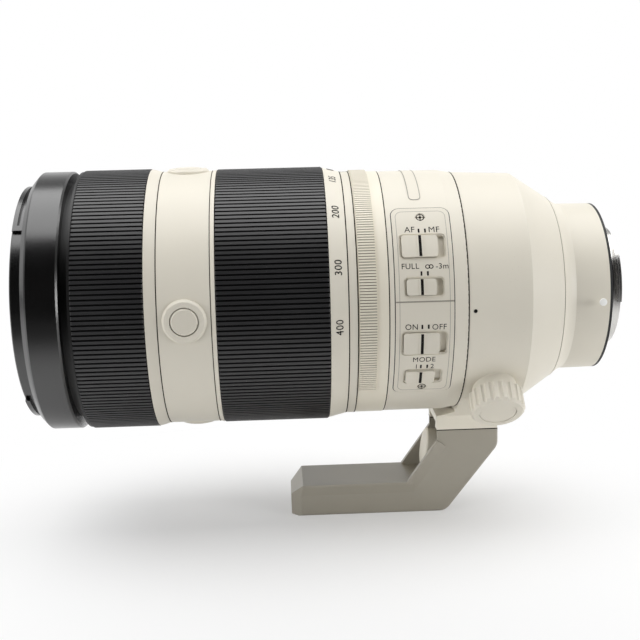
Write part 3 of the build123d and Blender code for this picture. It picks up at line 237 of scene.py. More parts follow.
# Grain of each kind of surface: scale of the pattern and depth
PAINT_GRAIN = (5200.0, 0.004 * MM)
MOULDING_GRAIN = (6500.0, 0.005 * MM)
BLACK_MOULDING_GRAIN = (5000.0, 0.008 * MM)
RUBBER_GRAIN = (3800.0, 0.010 * MM)
SEAL_GRAIN = (4200.0, 0.010 * MM)
ANODISED_GRAIN = (6000.0, 0.003 * MM)
BLADE_GRAIN = (3000.0, 0.002 * MM)
INK_GRAIN = (7000.0, 0.003 * MM)
METAL_GRAIN_SCALE = 2500.0
GRAIN_DETAIL = 2.0
ROUGHNESS_SPREAD = 0.08
METAL_ROUGHNESS_SPREAD = 0.18

# Noise of the other patterns: scale and detail
DRIFT_NOISE = (55.0, 3.0)
DUST_NOISE = (90.0, 4.0)
COATING_NOISE = (14.0, 1.0)
SMEAR_NOISE = (300.0, 2.0)
SMEAR_ROUGHNESS = 0.02

# Dust: scale of the specks, and the distances and noise levels between which they fade in
SPECK_SCALE = 900.0
SPECK_EDGES = (0.05, 0.16)
DUST_EDGES = (0.52, 0.68)

# Lathe marks and the lines of the circuit board
TURNING_PITCH = 0.12 * MM
TURNING_STRENGTH = 0.6
STREAK_SCALE = 0.9
BOARD_SCALE = 260.0
BOARD_LINE_SHARE = 0.06
BOARD_LINE_DEPTH = 0.03 * MM
BOARD_STRENGTH = 0.4

# Colours and optics that the settings don't hold
MIDDLE_GREY = (0.5, 0.5, 0.5, 1.0)
DUST_COLOR = (0.30, 0.29, 0.27, 1.0)
TUBE_COLOR = (0.05, 0.05, 0.052, 1.0)
TORQUE_CREST_COLOR = (0.80, 0.75, 0.63, 1.0)
# Painted shade: the colours that the rib grooves are darkened to
TORQUE_GROOVE_SHADE_COLOR = (0.32, 0.295, 0.24, 1.0)
RUBBER_GROOVE_SHADE_COLOR = (0.002, 0.002, 0.002, 1.0)
BOARD_COLORS = ((0.01, 0.10, 0.045, 1.0), (0.012, 0.13, 0.055, 1.0))
BOARD_LINE_COLOR = (0.20, 0.17, 0.05, 1.0)
COATING_COLORS = ((0.72, 0.90, 0.80, 1.0), (0.82, 0.74, 0.95, 1.0))
PAINT_GLEAM = 0.4
# Gleam of the rib crests, and the duller gleam of the grooves as painted shade
CREST_GLEAM = 0.6
GROOVE_GLEAM = 0.1
FOOT_IOR = 1.75
BLACK_IOR = 1.9
RUBBER_IOR = 1.6
GLASS_IOR = 1.6

# Machined metals: colour, roughness and depth of the turning marks
METALS = {
    "bright_turned_metal": ((0.66, 0.65, 0.63, 1.0), 0.24, 0.004 * MM),
    "brushed_steel": ((0.50, 0.50, 0.50, 1.0), 0.32, 0.004 * MM),
    "contact_gold": ((0.83, 0.62, 0.27, 1.0), 0.22, 0.002 * MM),
}

# Tubes with black paint in front of a border along the axis
FOCUS_LIP_BORDER = -183.0 * MM
INNER_TUBE_BORDER = -183.6 * MM
OUTER_BARREL_BORDER = -93.5 * MM

# Finish of each material of the CAD parts, and of the parts that have one of their own
FINISHES = {
    "white_paint": "white_satin_paint",
    "white_plastic": "white_moulding",
    "foot_paint": "foot_satin_paint",
    "black_ring": "black_satin_paint",
    "black_plastic": "black_moulding_and_gap_shade",
    "seal_rubber": "seal_lip_rubber",
    "aluminium": "dark_anodised",
    "bright_metal": "bright_turned_metal",
    "steel": "brushed_steel",
    "brass": "contact_gold",
    "blade_steel": "blackened_blade",
    "board": "circuit_board",
    "lens_glass": "coated_glass",
}
OWN_FINISHES = {
    "focus_sleeve": "focus_sleeve_paint",
    "extension_tube": "inner_tube_paint",
    "outer_barrel": "outer_barrel_paint",
    "torque_ring": "torque_ring_moulding",
    "focus_grip": "focus_grip_rubber",
    "zoom_grip": "zoom_grip_rubber",
}

# Floor: an oval round the lens that shows its shadow, white beyond it, and paper painted darker near
# the camera as painted shade for the light that falls off on that side. The oval's middle is the
# negative of its shift.
FLOOR_SHIFT = (0.105, 0.03, -FLOOR_Z)
FLOOR_OVAL = (1.0, 1.35, 1.0)
FLOOR_FADE = (0.04, 0.19)
FLOOR_WHITE_SHARE = 0.33
FLOOR_NEAR_EDGES = (-0.26, -0.04)
FLOOR_NEAR_PAINTED_SHADE = (0.12, 0.93)

# Room: its light grows from the near to the far side, and fades again overhead
ROOM_SIDES = (-0.15, 0.45)
ROOM_HEIGHTS = (0.25, 0.75)
ROOM_OVERHEAD_SHARE = 0.3

# Lamps: size, place and target
LAMPS = {
    "top_light": ((1.2, 0.55), (-0.10, 0.03, 0.50), (-0.10, 0.03, 0.0)),
    "left_light": ((0.5, 0.5), (-0.90, -0.45, 0.02), (-0.10, 0.0, 0.0)),
    "right_light": ((0.5, 0.5), (0.70, -0.45, 0.02), (-0.10, 0.0, 0.0)),
}

# Camera of the photograph
CAMERA_PLACE = Vector((-115.870, -399.232, 72.157)) * MM
CAMERA_RIGHT = Vector((0.99884416, -0.04239311, -0.02265304))
CAMERA_UP = Vector((0.03073724, 0.20102401, 0.97910396))
CAMERA_LENS = 61.54
CAMERA_CLIP = 0.01
SENSOR_WIDTH = 36.0


# Settings

def color_setting(name, description, color):
    return bpy.props.FloatVectorProperty(
        name=name, description=description, subtype="COLOR", size=4, min=0.0, max=1.0, default=color
    )


def power_setting(name, description, power):
    return bpy.props.FloatProperty(
        name=name, description=description, subtype="POWER", min=0.0, max=100.0, default=power
    )


class LensFinish(bpy.types.PropertyGroup):
    """Colours and surfaces of the lens."""

    paint: color_setting("Lens paint", "Warm white of the barrels", (0.74, 0.70, 0.605, 1.0))
    plastic: color_setting(
        "Lens plastic", "Warm white of the panel, knobs and buttons", (0.715, 0.675, 0.582, 1.0)
    )
    foot: color_setting("Foot paint", "Grey-beige of the tripod foot", (0.33, 0.305, 0.25, 1.0))
    black: color_setting("Black paint", "Satin black of the front ring", (0.0015, 0.0015, 0.0015, 1.0))
    rubber: color_setting("Grip rubber", "Black of the ribbed grips", (0.013, 0.013, 0.014, 1.0))
    ink: color_setting("Ink", "Dark grey of the printed marks", (0.012, 0.010, 0.009, 1.0))
    paint_roughness: bpy.props.FloatProperty(
        name="Paint roughness", description="Roughness of the satin paint", min=0.05, max=1.0, default=0.42,
    )


class LensMarks(bpy.types.PropertyGroup):
    """Sizes of the printed marks."""

    scale_height: bpy.props.FloatProperty(
        name="Scale digits", description="Height of the digits on the zoom scale",
        unit="LENGTH", precision=5, min=0.001, max=0.005, default=2.45 * MM,
    )
    groove_width: bpy.props.FloatProperty(
        name="Nameplate line", description="Width of the line round the bare nameplate",
        unit="LENGTH", precision=5, min=0.0001, max=0.001, default=0.24 * MM,
    )


class LensStage(bpy.types.PropertyGroup):
    """Floor and light of the studio."""

    floor_size: bpy.props.FloatProperty(
        name="Floor", description="Side of the floor", unit="LENGTH", min=1.0, max=20.0, default=6.0,
    )
    top_power: power_setting("Top light", "Power of the large light overhead", 5.2)
    side_power: power_setting("Side lights", "Power of each light beside the camera", 5.6)
    near_side: bpy.props.FloatProperty(
        name="Near side", description="Light of the dark room on the switch side",
        min=0.0, max=2.0, default=0.015,
    )
    far_side: bpy.props.FloatProperty(
        name="Far side", description="Light of the white sweep behind the lens",
        min=0.0, max=2.0, default=0.95,
    )


# Shader node helpers

def new_group(name, inputs, outputs):
    """Node group with its input and output sockets; inputs are given with their defaults."""
    group = bpy.data.node_groups.new(name, "ShaderNodeTree")
    for label, default in inputs.items():
        kind = "NodeSocketFloat" if isinstance(default, float) else "NodeSocketColor"
        socket = group.interface.new_socket(label, in_out="INPUT", socket_type=kind)
        socket.default_value = default
    for label in outputs:
        kind = "NodeSocketColor" if label == "Color" else "NodeSocketFloat"
        group.interface.new_socket(label, in_out="OUTPUT", socket_type=kind)
    return group, group.nodes.new("NodeGroupInput").outputs, group.nodes.new("NodeGroupOutput").inputs


def add(tree, kind, links=None, **settings):
    """New node; settings are its properties and links its inputs: a value, or a socket to connect."""
    node = tree.nodes.new(kind)
    for name, value in settings.items():
        setattr(node, name, value)
    for name, value in (links or {}).items():
        if isinstance(value, bpy.types.NodeSocket):
            tree.links.new(value, node.inputs[name])
        else:
            node.inputs[name].default_value = value
    return node


def calc(tree, operation, *values, clamp=False):
    """Result of a math node on the values, each a number or a socket."""
    links = dict(enumerate(values))
    return add(tree, "ShaderNodeMath", links, operation=operation, use_clamp=clamp).outputs[0]


def mapped(tree, value, edges, results=(0.0, 1.0), curve="LINEAR"):
    """Value that goes from the first to the second result between two edges."""
    labels = ("Value", "From Min", "From Max", "To Min", "To Max")
    links = dict(zip(labels, (value, *edges, *results)))
    return add(tree, "ShaderNodeMapRange", links, interpolation_type=curve).outputs["Result"]


def object_place(tree):
    return add(tree, "ShaderNodeTexCoord").outputs["Object"]


def noise(tree, place, scale, detail):
    links = {"Vector": place, "Scale": scale, "Detail": detail}
    return add(tree, "ShaderNodeTexNoise", links).outputs["Fac"]


def split(tree, vector):
    return add(tree, "ShaderNodeSeparateXYZ", {"Vector": vector}).outputs


def axis_distance(tree, parts):
    """Distance from the lens axis."""
    across = add(tree, "ShaderNodeCombineXYZ", {"Y": parts["Y"], "Z": parts["Z"]})
    return add(tree, "ShaderNodeVectorMath", {0: across.outputs[0]}, operation="LENGTH").outputs["Value"]


def grain_group():
    """Slow colour drift and fine grain of a moulded or painted surface."""
    group, start, end = new_group(
        "Surface grain",
        {
            "Color": MIDDLE_GREY, "Drift": 0.04, "Grain Scale": 4000.0,
            "Roughness": 0.5, "Roughness Spread": ROUGHNESS_SPREAD,
        },
        ("Color", "Roughness", "Height"),
    )
    place = object_place(group)
    centred = calc(group, "SUBTRACT", noise(group, place, *DRIFT_NOISE), 0.5)
    bright = calc(group, "ADD", calc(group, "MULTIPLY", centred, start["Drift"]), 1.0)
    tinted = add(group, "ShaderNodeVectorMath", {0: start["Color"], "Scale": bright}, operation="SCALE")
    rough = calc(group, "MULTIPLY_ADD", centred, start["Roughness Spread"], start["Roughness"])
    group.links.new(tinted.outputs[0], end["Color"])
    group.links.new(rough, end["Roughness"])
    group.links.new(noise(group, place, start["Grain Scale"], GRAIN_DETAIL), end["Height"])


def dust_group():
    """Sparse light specks of dust, as a mask."""
    group, start, end = new_group("Dust specks", {"Scale": SPECK_SCALE, "Amount": 0.3}, ("Mask",))
    place = object_place(group)
    specks = add(group, "ShaderNodeTexVoronoi", {"Vector": place, "Scale": start["Scale"]})
    near = mapped(group, specks.outputs["Distance"], SPECK_EDGES, (1.0, 0.0))
    where = mapped(group, noise(group, place, *DUST_NOISE), DUST_EDGES)
    mask = calc(group, "MULTIPLY", calc(group, "MULTIPLY", near, where), start["Amount"])
    group.links.new(mask, end["Mask"])


def border_group():
    """Mask that is 1 in front of a place along the lens axis and 0 behind it."""
    group, start, end = new_group("Paint border", {"Place": 0.0, "Softness": 0.0001}, ("Mask",))
    parts = split(group, object_place(group))
    ahead = calc(group, "SUBTRACT", start["Place"], parts["X"])
    group.links.new(calc(group, "DIVIDE", ahead, start["Softness"], clamp=True), end["Mask"])


def groove_group():
    """Mask of painted shade: 1 in the grooves of a ribbed band round the lens axis and 0 on its crests."""
    group, start, end = new_group(
        "Rib groove shade", {"Front": 0.0, "Rear": 0.0, "Groove": 0.0, "Crest": 0.0, "Lowest": -1.0}, ("Mask",)
    )
    parts = split(group, object_place(group))
    mask = mapped(group, axis_distance(group, parts), (start["Groove"], start["Crest"]), (1.0, 0.0))
    limits = (("X", "GREATER_THAN", "Front"), ("X", "LESS_THAN", "Rear"), ("Z", "GREATER_THAN", "Lowest"))
    for axis, comparison, limit in limits:
        inside = calc(group, comparison, parts[axis], start[limit])
        mask = calc(group, "MULTIPLY", inside, mask)
    group.links.new(mask, end["Mask"])


def turning_group():
    """Fine rings that a lathe leaves round the lens axis."""
    group, start, end = new_group("Turning marks", {"Pitch": TURNING_PITCH}, ("Height", "Mask"))
    parts = split(group, object_place(group))
    travel = calc(group, "ADD", axis_distance(group, parts), parts["X"])
    turns = calc(group, "DIVIDE", travel, start["Pitch"])
    links = {"W": turns, "Scale": STREAK_SCALE, "Detail": GRAIN_DETAIL}
    streaks = add(group, "ShaderNodeTexNoise", links, noise_dimensions="1D")
    group.links.new(calc(group, "SINE", turns), end["Height"])
    group.links.new(streaks.outputs["Fac"], end["Mask"])


def place_group(tree, group, **values):
    """Outputs of a node group with these inputs; an underscore stands for a space."""
    node = tree.nodes.new("ShaderNodeGroup")
    node.node_tree = bpy.data.node_groups[group]
    for label, value in values.items():
        node.inputs[label.replace("_", " ")].default_value = value
    return node.outputs


def new_material(name, **sockets):
    """Material with a Principled shader; sockets are constants set on the shader itself."""
    material = bpy.data.materials.new(name)
    material.use_nodes = True
    shader = material.node_tree.nodes["Principled BSDF"]
    for label, value in sockets.items():
        shader.inputs[label.replace("_", " ")].default_value = value
    return material.node_tree, shader


def feed(tree, shader, **links):
    """Connects sockets to the shader."""
    for label, socket in links.items():
        tree.links.new(socket, shader.inputs[label.replace("_", " ")])


def add_bump(tree, shader, height, depth, strength=1.0):
    bump = add(tree, "ShaderNodeBump", {"Strength": strength, "Distance": depth, "Height": height})
    feed(tree, shader, Normal=bump.outputs["Normal"])


def tint(tree, shader, mask, color):
    """Turns the shader's colour towards another one where the mask says so."""
    base = shader.inputs["Base Color"].links[0].from_socket
    mix = add(tree, "ShaderNodeMix", data_type="RGBA")
    tree.links.new(mask, mix.inputs[0])
    tree.links.new(base, mix.inputs[6])
    mix.inputs[7].default_value = color
    feed(tree, shader, Base_Color=mix.outputs[2])


def surface(name, color, roughness, grain, drift=0.04, dust=0.0, **sockets):
    """Painted, moulded or rubber surface with grain, and dust where it is given."""
    tree, shader = new_material(name, **sockets)
    scale, depth = grain
    marks = place_group(
        tree, "Surface grain", Color=color, Drift=drift, Grain_Scale=scale,
        Roughness=roughness, Roughness_Spread=ROUGHNESS_SPREAD,
    )
    feed(tree, shader, Base_Color=marks["Color"], Roughness=marks["Roughness"])
    if dust:
        tint(tree, shader, place_group(tree, "Dust specks", Amount=dust)["Mask"], DUST_COLOR)
    add_bump(tree, shader, marks["Height"], depth)
    return tree, shader


def two_tone(name, front_color, rear_color, border, roughness):
    """Paint that is one colour in front of a border across the axis and another behind it."""
    tree, shader = surface(name, rear_color, roughness, PAINT_GRAIN)
    tint(tree, shader, place_group(tree, "Paint border", Place=border)["Mask"], front_color)


def shade_grooves(tree, shader, ribs, groove_shade_color, lowest=NO_LOWEST):
    """Paints shade where the ribs' grooves lie, by the distance from the lens axis: darker and less glossy.
    """
    front, rear, groove, crest = [value * MM for value in ribs]
    mask = place_group(
        tree, "Rib groove shade", Front=front, Rear=rear, Groove=groove, Crest=crest, Lowest=lowest * MM
    )["Mask"]
    tint(tree, shader, mask, groove_shade_color)
    feed(tree, shader, Specular_IOR_Level=mapped(tree, mask, (0.0, 1.0), (CREST_GLEAM, GROOVE_GLEAM)))


def turned_metal(name, color, roughness, depth):
    """Machined metal with turning marks."""
    tree, shader = new_material(name, Metallic=1.0)
    marks = place_group(tree, "Turning marks")
    grain = place_group(
        tree, "Surface grain", Color=color, Drift=0.10, Grain_Scale=METAL_GRAIN_SCALE, Roughness=roughness
    )
    spread = METAL_ROUGHNESS_SPREAD
    rough = calc(tree, "MULTIPLY_ADD", marks["Mask"], spread, roughness - spread / 2)
    feed(tree, shader, Base_Color=grain["Color"], Roughness=rough)
    add_bump(tree, shader, marks["Height"], depth, TURNING_STRENGTH)


def coated_glass(name):
    """Clear lens glass; its coating drifts between green and violet."""
    tree, shader = new_material(name, Transmission_Weight=1.0, IOR=GLASS_IOR, Specular_IOR_Level=0.2)
    place = object_place(tree)
    ramp = add(tree, "ShaderNodeValToRGB", {"Fac": noise(tree, place, *COATING_NOISE)})
    for stop, color in zip(ramp.color_ramp.elements, COATING_COLORS):
        stop.color = color
    smear = calc(tree, "MULTIPLY", noise(tree, place, *SMEAR_NOISE), SMEAR_ROUGHNESS)
    feed(tree, shader, Base_Color=ramp.outputs["Color"], Roughness=smear)


def circuit_board(name):
    """Green solder mask with copper lines under it."""
    tree, shader = new_material(name, Coat_Weight=0.3, Roughness=0.35)
    links = {
        "Vector": object_place(tree), "Scale": BOARD_SCALE, "Mortar Size": BOARD_LINE_SHARE,
        "Color1": BOARD_COLORS[0], "Color2": BOARD_COLORS[1], "Mortar": BOARD_LINE_COLOR,
    }
    lines = add(tree, "ShaderNodeTexBrick", links)
    feed(tree, shader, Base_Color=lines.outputs["Color"])
    add_bump(tree, shader, lines.outputs["Fac"], BOARD_LINE_DEPTH, BOARD_STRENGTH)


# Modelling helpers

def clear_selection():
    if bpy.context.object and bpy.context.object.mode != "OBJECT":
        bpy.ops.object.mode_set(mode="OBJECT")
    bpy.ops.object.select_all(action="DESELECT")


def choose(piece):
    clear_selection()
    piece.select_set(True)
    bpy.context.view_layer.objects.active = piece


def take_new(name):
    piece = bpy.context.object
    piece.name = name
    piece.data.name = name
    return piece


def apply_all(piece):
    """Applies the piece's modifiers in order."""
    bpy.context.view_layer.objects.active = piece
    for modifier in list(piece.modifiers):
        bpy.ops.object.modifier_apply(modifier=modifier.name)


def apply_place(piece):
    choose(piece)
    bpy.ops.object.transform_apply(location=True, rotation=True, scale=True)


def edit_whole():
    bpy.ops.object.mode_set(mode="EDIT")
    bpy.ops.mesh.select_all(action="SELECT")


def place_flat(piece, x, angle, radius):
    """Carries a small upright piece that faces -Y onto the barrel without bending it."""
    turn = radians(angle)
    piece.location = (x, -radius * cos(turn), radius * sin(turn))
    piece.rotation_euler = (-turn, 0.0, 0.0)
    apply_place(piece)


def lay_on_lens(piece, x, angle, radius):
    """Carries a piece, drawn upright at the origin and facing -Y, onto the barrel and bends it round."""
    bpy.context.view_layer.update()
    tall = piece.dimensions.z
    bend = piece.modifiers.new("Bend", "SIMPLE_DEFORM")
    bend.deform_method = "BEND"
    bend.deform_axis = "X"
    bend.angle = tall / radius
    apply_all(piece)
    place_flat(piece, x, angle, radius)


def lean_on_cone(piece, x):
    """Leans a mark that lies on a cylinder so that it follows the cone of the scale band."""
    for vertex in piece.data.vertices:
        across = Vector((0.0, vertex.co.y, vertex.co.z))
        vertex.co += across.normalized() * SCALE_CONE_SLOPE * (vertex.co.x - x)


def finish_piece(piece, material, body, smooth=SMOOTH_ANGLE):
    piece.data.materials.clear()
    piece.data.materials.append(bpy.data.materials[material])
    choose(piece)
    bpy.ops.object.shade_smooth_by_angle(angle=radians(smooth))
    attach(piece, body)


def written(name, text, cap_height, upwards=False):
    """Text as a thin solid that stands upright at the origin and faces -Y."""
    clear_selection()
    bpy.ops.object.text_add(location=(0.0, 0.0, 0.0))
    piece = take_new(name)
    piece.data.body = text
    piece.data.align_x = "CENTER"
    piece.data.align_y = "CENTER"
    piece.data.size = cap_height / CAP_HEIGHT_SHARE
    piece.data.space_character = LETTER_SPACING
    piece.data.resolution_u = LETTER_STEPS
    piece.data.extrude = (INK_PROUD + INK_DEPTH) / 2
    bpy.ops.object.convert(target="MESH")
    piece = bpy.context.object
    if upwards:
        piece.rotation_euler = (0.0, 0.0, pi / 2)
        apply_place(piece)
    piece.rotation_euler = (pi / 2, 0.0, 0.0)
    piece.location = (0.0, (INK_DEPTH - INK_PROUD) / 2, 0.0)
    apply_place(piece)
    return piece


def rounded_sheet(name, wide, tall, corner, corner_steps):
    """Upright rounded sheet at the origin that faces -Y, left in edit mode with all of it selected."""
    clear_selection()
    bpy.ops.mesh.primitive_plane_add(size=1.0, location=(0.0, 0.0, 0.0), rotation=(pi / 2, 0.0, 0.0))
    piece = take_new(name)
    piece.scale = (wide, tall, 1.0)
    apply_place(piece)
    edit_whole()
    bpy.ops.mesh.bevel(offset=corner, offset_type="OFFSET", affect="VERTICES", segments=corner_steps)
    bpy.ops.mesh.select_all(action="SELECT")
    return piece


def thicken_sheet(tall, proud, depth, steps):
    """Cuts the sheet in edit mode into steps along its height and turns it into a solid."""
    for step in range(1, steps):
        z = -tall / 2 + tall * step / steps
        bpy.ops.mesh.bisect(plane_co=(0.0, 0.0, z), plane_no=(0.0, 0.0, 1.0))
        bpy.ops.mesh.select_all(action="SELECT")
    bpy.ops.mesh.extrude_region_move(TRANSFORM_OT_translate={"value": (0.0, -(proud + depth), 0.0)})
    bpy.ops.mesh.select_all(action="SELECT")
    bpy.ops.transform.translate(value=(0.0, depth, 0.0))
    bpy.ops.mesh.normals_make_consistent(inside=False)
    bpy.ops.object.mode_set(mode="OBJECT")


def plate(name, wide, tall, corner, proud=INK_PROUD, depth=INK_DEPTH, steps=1):
    """Upright rounded plate at the origin that faces -Y."""
    piece = rounded_sheet(name, wide, tall, corner, PLATE_CORNER_STEPS)
    thicken_sheet(tall, proud, depth, steps)
    return piece


def outline(name, wide, tall, corner, line, proud, depth, steps):
    """Upright rounded frame at the origin that faces -Y."""
    piece = rounded_sheet(name, wide, tall, corner, FRAME_CORNER_STEPS)
    bpy.ops.mesh.inset(thickness=line, depth=0.0)
    bpy.ops.mesh.delete(type="FACE")
    bpy.ops.mesh.select_all(action="SELECT")
    thicken_sheet(tall, proud, depth, steps)
    return piece


def join(pieces, name):
    clear_selection()
    for piece in pieces:
        piece.select_set(True)
    bpy.context.view_layer.objects.active = pieces[0]
    bpy.ops.object.join()
    return take_new(name)


def turned_ring(name, points):
    """Ring turned about the lens axis: a circle is extruded and scaled through the outline's points."""
    clear_selection()
    x, radius = points[0]
    bpy.ops.mesh.primitive_circle_add(
        vertices=RING_SEGMENTS, radius=radius, location=(x, 0.0, 0.0), rotation=(0.0, pi / 2, 0.0)
    )
    piece = take_new(name)
    apply_place(piece)
    edit_whole()
    for (x_here, radius_here), (x_next, radius_next) in zip(points, points[1:] + points[:1]):
        share = radius_next / radius_here
        bpy.ops.mesh.extrude_region_move(TRANSFORM_OT_translate={"value": (x_next - x_here, 0.0, 0.0)})
        bpy.ops.transform.resize(value=(1.0, share, share), center_override=(x_next, 0.0, 0.0))
    bpy.ops.mesh.select_all(action="SELECT")
    bpy.ops.mesh.remove_doubles(threshold=MERGE_DISTANCE)
    bpy.ops.mesh.normals_make_consistent(inside=False)
    bpy.ops.object.mode_set(mode="OBJECT")
    return piece


def dot(name, radius, proud, depth):
    """Small domed disc at the origin that faces -Y."""
    clear_selection()
    bpy.ops.mesh.primitive_cylinder_add(
        vertices=DOT_SEGMENTS, radius=radius, depth=proud + depth, rotation=(pi / 2, 0.0, 0.0),
        location=(0.0, (depth - proud) / 2, 0.0),
    )
    piece = take_new(name)
    apply_place(piece)
    edge = piece.modifiers.new("Edge", "BEVEL")
    edge.width = proud / 2
    edge.segments = 2
    apply_all(piece)
    return piece


def flat_ring(name, radius, line, segments, scale, x=0.0):
    """Thin flattened ring that faces -Y, at the origin or beside it."""
    clear_selection()
    bpy.ops.mesh.primitive_torus_add(
        major_radius=radius, minor_radius=line, major_segments=segments, minor_segments=LINE_SIDES,
        rotation=(pi / 2, 0.0, 0.0), location=(x, 0.0, 0.0),
    )
    ring = take_new(name)
    ring.scale = scale
    apply_place(ring)
    return ring


# Operators

class LENS_OT_materials(bpy.types.Operator):
    """Makes every finish of the lens"""

    bl_idname = "lens.materials"
    bl_label = "Make finishes"

    def execute(self, context):
        look = context.scene.lens_finish
        grain_group()
        dust_group()
        border_group()
        groove_group()
        turning_group()
        self.white_and_black(look)
        self.plain()
        self.ribbed(look)
        for name, (color, roughness, depth) in METALS.items():
            turned_metal(name, color, roughness, depth)
        coated_glass("coated_glass")
        circuit_board("circuit_board")
        return {"FINISHED"}

    def white_and_black(self, look):
        paint, plastic, black, rough = look.paint, look.plastic, look.black, look.paint_roughness
        gleam = {"Specular_IOR_Level": PAINT_GLEAM}
        surface("white_satin_paint", paint, rough, PAINT_GRAIN, drift=0.05, dust=0.25, **gleam)
        surface("white_moulding", plastic, rough + 0.05, MOULDING_GRAIN, drift=0.05, **gleam)
        surface("foot_satin_paint", look.foot, 0.36, PAINT_GRAIN, drift=0.07, dust=0.5, IOR=FOOT_IOR)
        surface("black_satin_paint", black, 0.23, PAINT_GRAIN, drift=0.25, dust=0.15, IOR=BLACK_IOR)
        surface("print_ink", look.ink, 0.6, INK_GRAIN, drift=0.1, Specular_IOR_Level=0.12)
        two_tone("focus_sleeve_paint", black, plastic, FOCUS_LIP_BORDER, rough)
        two_tone("inner_tube_paint", black, plastic, INNER_TUBE_BORDER, rough)
        two_tone("outer_barrel_paint", TUBE_COLOR, plastic, OUTER_BARREL_BORDER, rough)

    def plain(self):
        # Black moulding, which is also the painted shade in the gap round the switch panel
        surface("black_moulding_and_gap_shade", (0.012, 0.012, 0.013, 1.0), 0.55, BLACK_MOULDING_GRAIN, drift=0.2)
        surface("seal_lip_rubber", (0.015, 0.015, 0.016, 1.0), 0.6, SEAL_GRAIN, drift=0.2)
        surface("dark_anodised", (0.09, 0.09, 0.095, 1.0), 0.38, ANODISED_GRAIN, drift=0.1, Metallic=0.8)
        surface("blackened_blade", (0.03, 0.03, 0.032, 1.0), 0.32, BLADE_GRAIN, Metallic=0.7)
        # Line colour, which is also the painted shade of the switch panel's step
        surface("nameplate_line", (0.33, 0.31, 0.27, 1.0), 0.5, INK_GRAIN, drift=0.1)
        surface("groove_shade", (0.34, 0.315, 0.265, 1.0), 0.6, INK_GRAIN)
        surface("white_ink", (0.93, 0.93, 0.91, 1.0), 0.5, INK_GRAIN, drift=0.05)
        surface("seam_shadow", (0.028, 0.022, 0.015, 1.0), 0.8, INK_GRAIN, Specular_IOR_Level=0.1)

    def ribbed(self, look):
        # Painted shade in the grooves of the torque ring and of the grips
        torque = surface(
            "torque_ring_moulding", TORQUE_CREST_COLOR, look.paint_roughness, MOULDING_GRAIN, drift=0.06
        )
        shade_grooves(*torque, TORQUE_RIBS, TORQUE_GROOVE_SHADE_COLOR, TORQUE_LOWEST)
        for name, ribs in {"focus_grip_rubber": FOCUS_RIBS, "zoom_grip_rubber": ZOOM_RIBS}.items():
            grip = surface(name, look.rubber, 0.42, RUBBER_GRAIN, drift=0.3, dust=0.4, IOR=RUBBER_IOR)
            shade_grooves(*grip, ribs, RUBBER_GROOVE_SHADE_COLOR)


class LENS_OT_dress_nodes(bpy.types.Operator):
    """Gives every part of the frame its finish"""

    bl_idname = "lens.dress_nodes"
    bl_label = "Dress the parts"

    def execute(self, context):
        for name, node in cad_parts.items():
            cad_material = node.data.materials[0].name.split(".")[0]
            finish = OWN_FINISHES.get(name) or FINISHES[cad_material]
            for slot in node.material_slots:
                slot.material = bpy.data.materials[finish]
        return {"FINISHED"}


class LENS_OT_zoom_scale(bpy.types.Operator):
    """Prints the focal lengths on the zoom ring and the line they are read at"""

    bl_idname = "lens.zoom_scale"
    bl_label = "Print the zoom scale"

    def execute(self, context):
        height = context.scene.lens_marks.scale_height
        for text, angle in SCALE_MARKS.items():
            piece = written(f"scale_{text}", text, height, upwards=True)
            lay_on_lens(piece, SCALE_X, angle, SCALE_RADIUS)
            lean_on_cone(piece, SCALE_X)
            finish_piece(piece, "print_ink", "zoom_ring")
        corner = INDEX_LINE_WIDTH * INK_CORNER_SHARE
        line = plate("index_line", INDEX_LINE_LENGTH, INDEX_LINE_WIDTH, corner)
        place_flat(line, INDEX_LINE_X, INDEX_LINE_ANGLE, INDEX_BAND_RADIUS)
        finish_piece(line, "print_ink", "barrel")
        return {"FINISHED"}


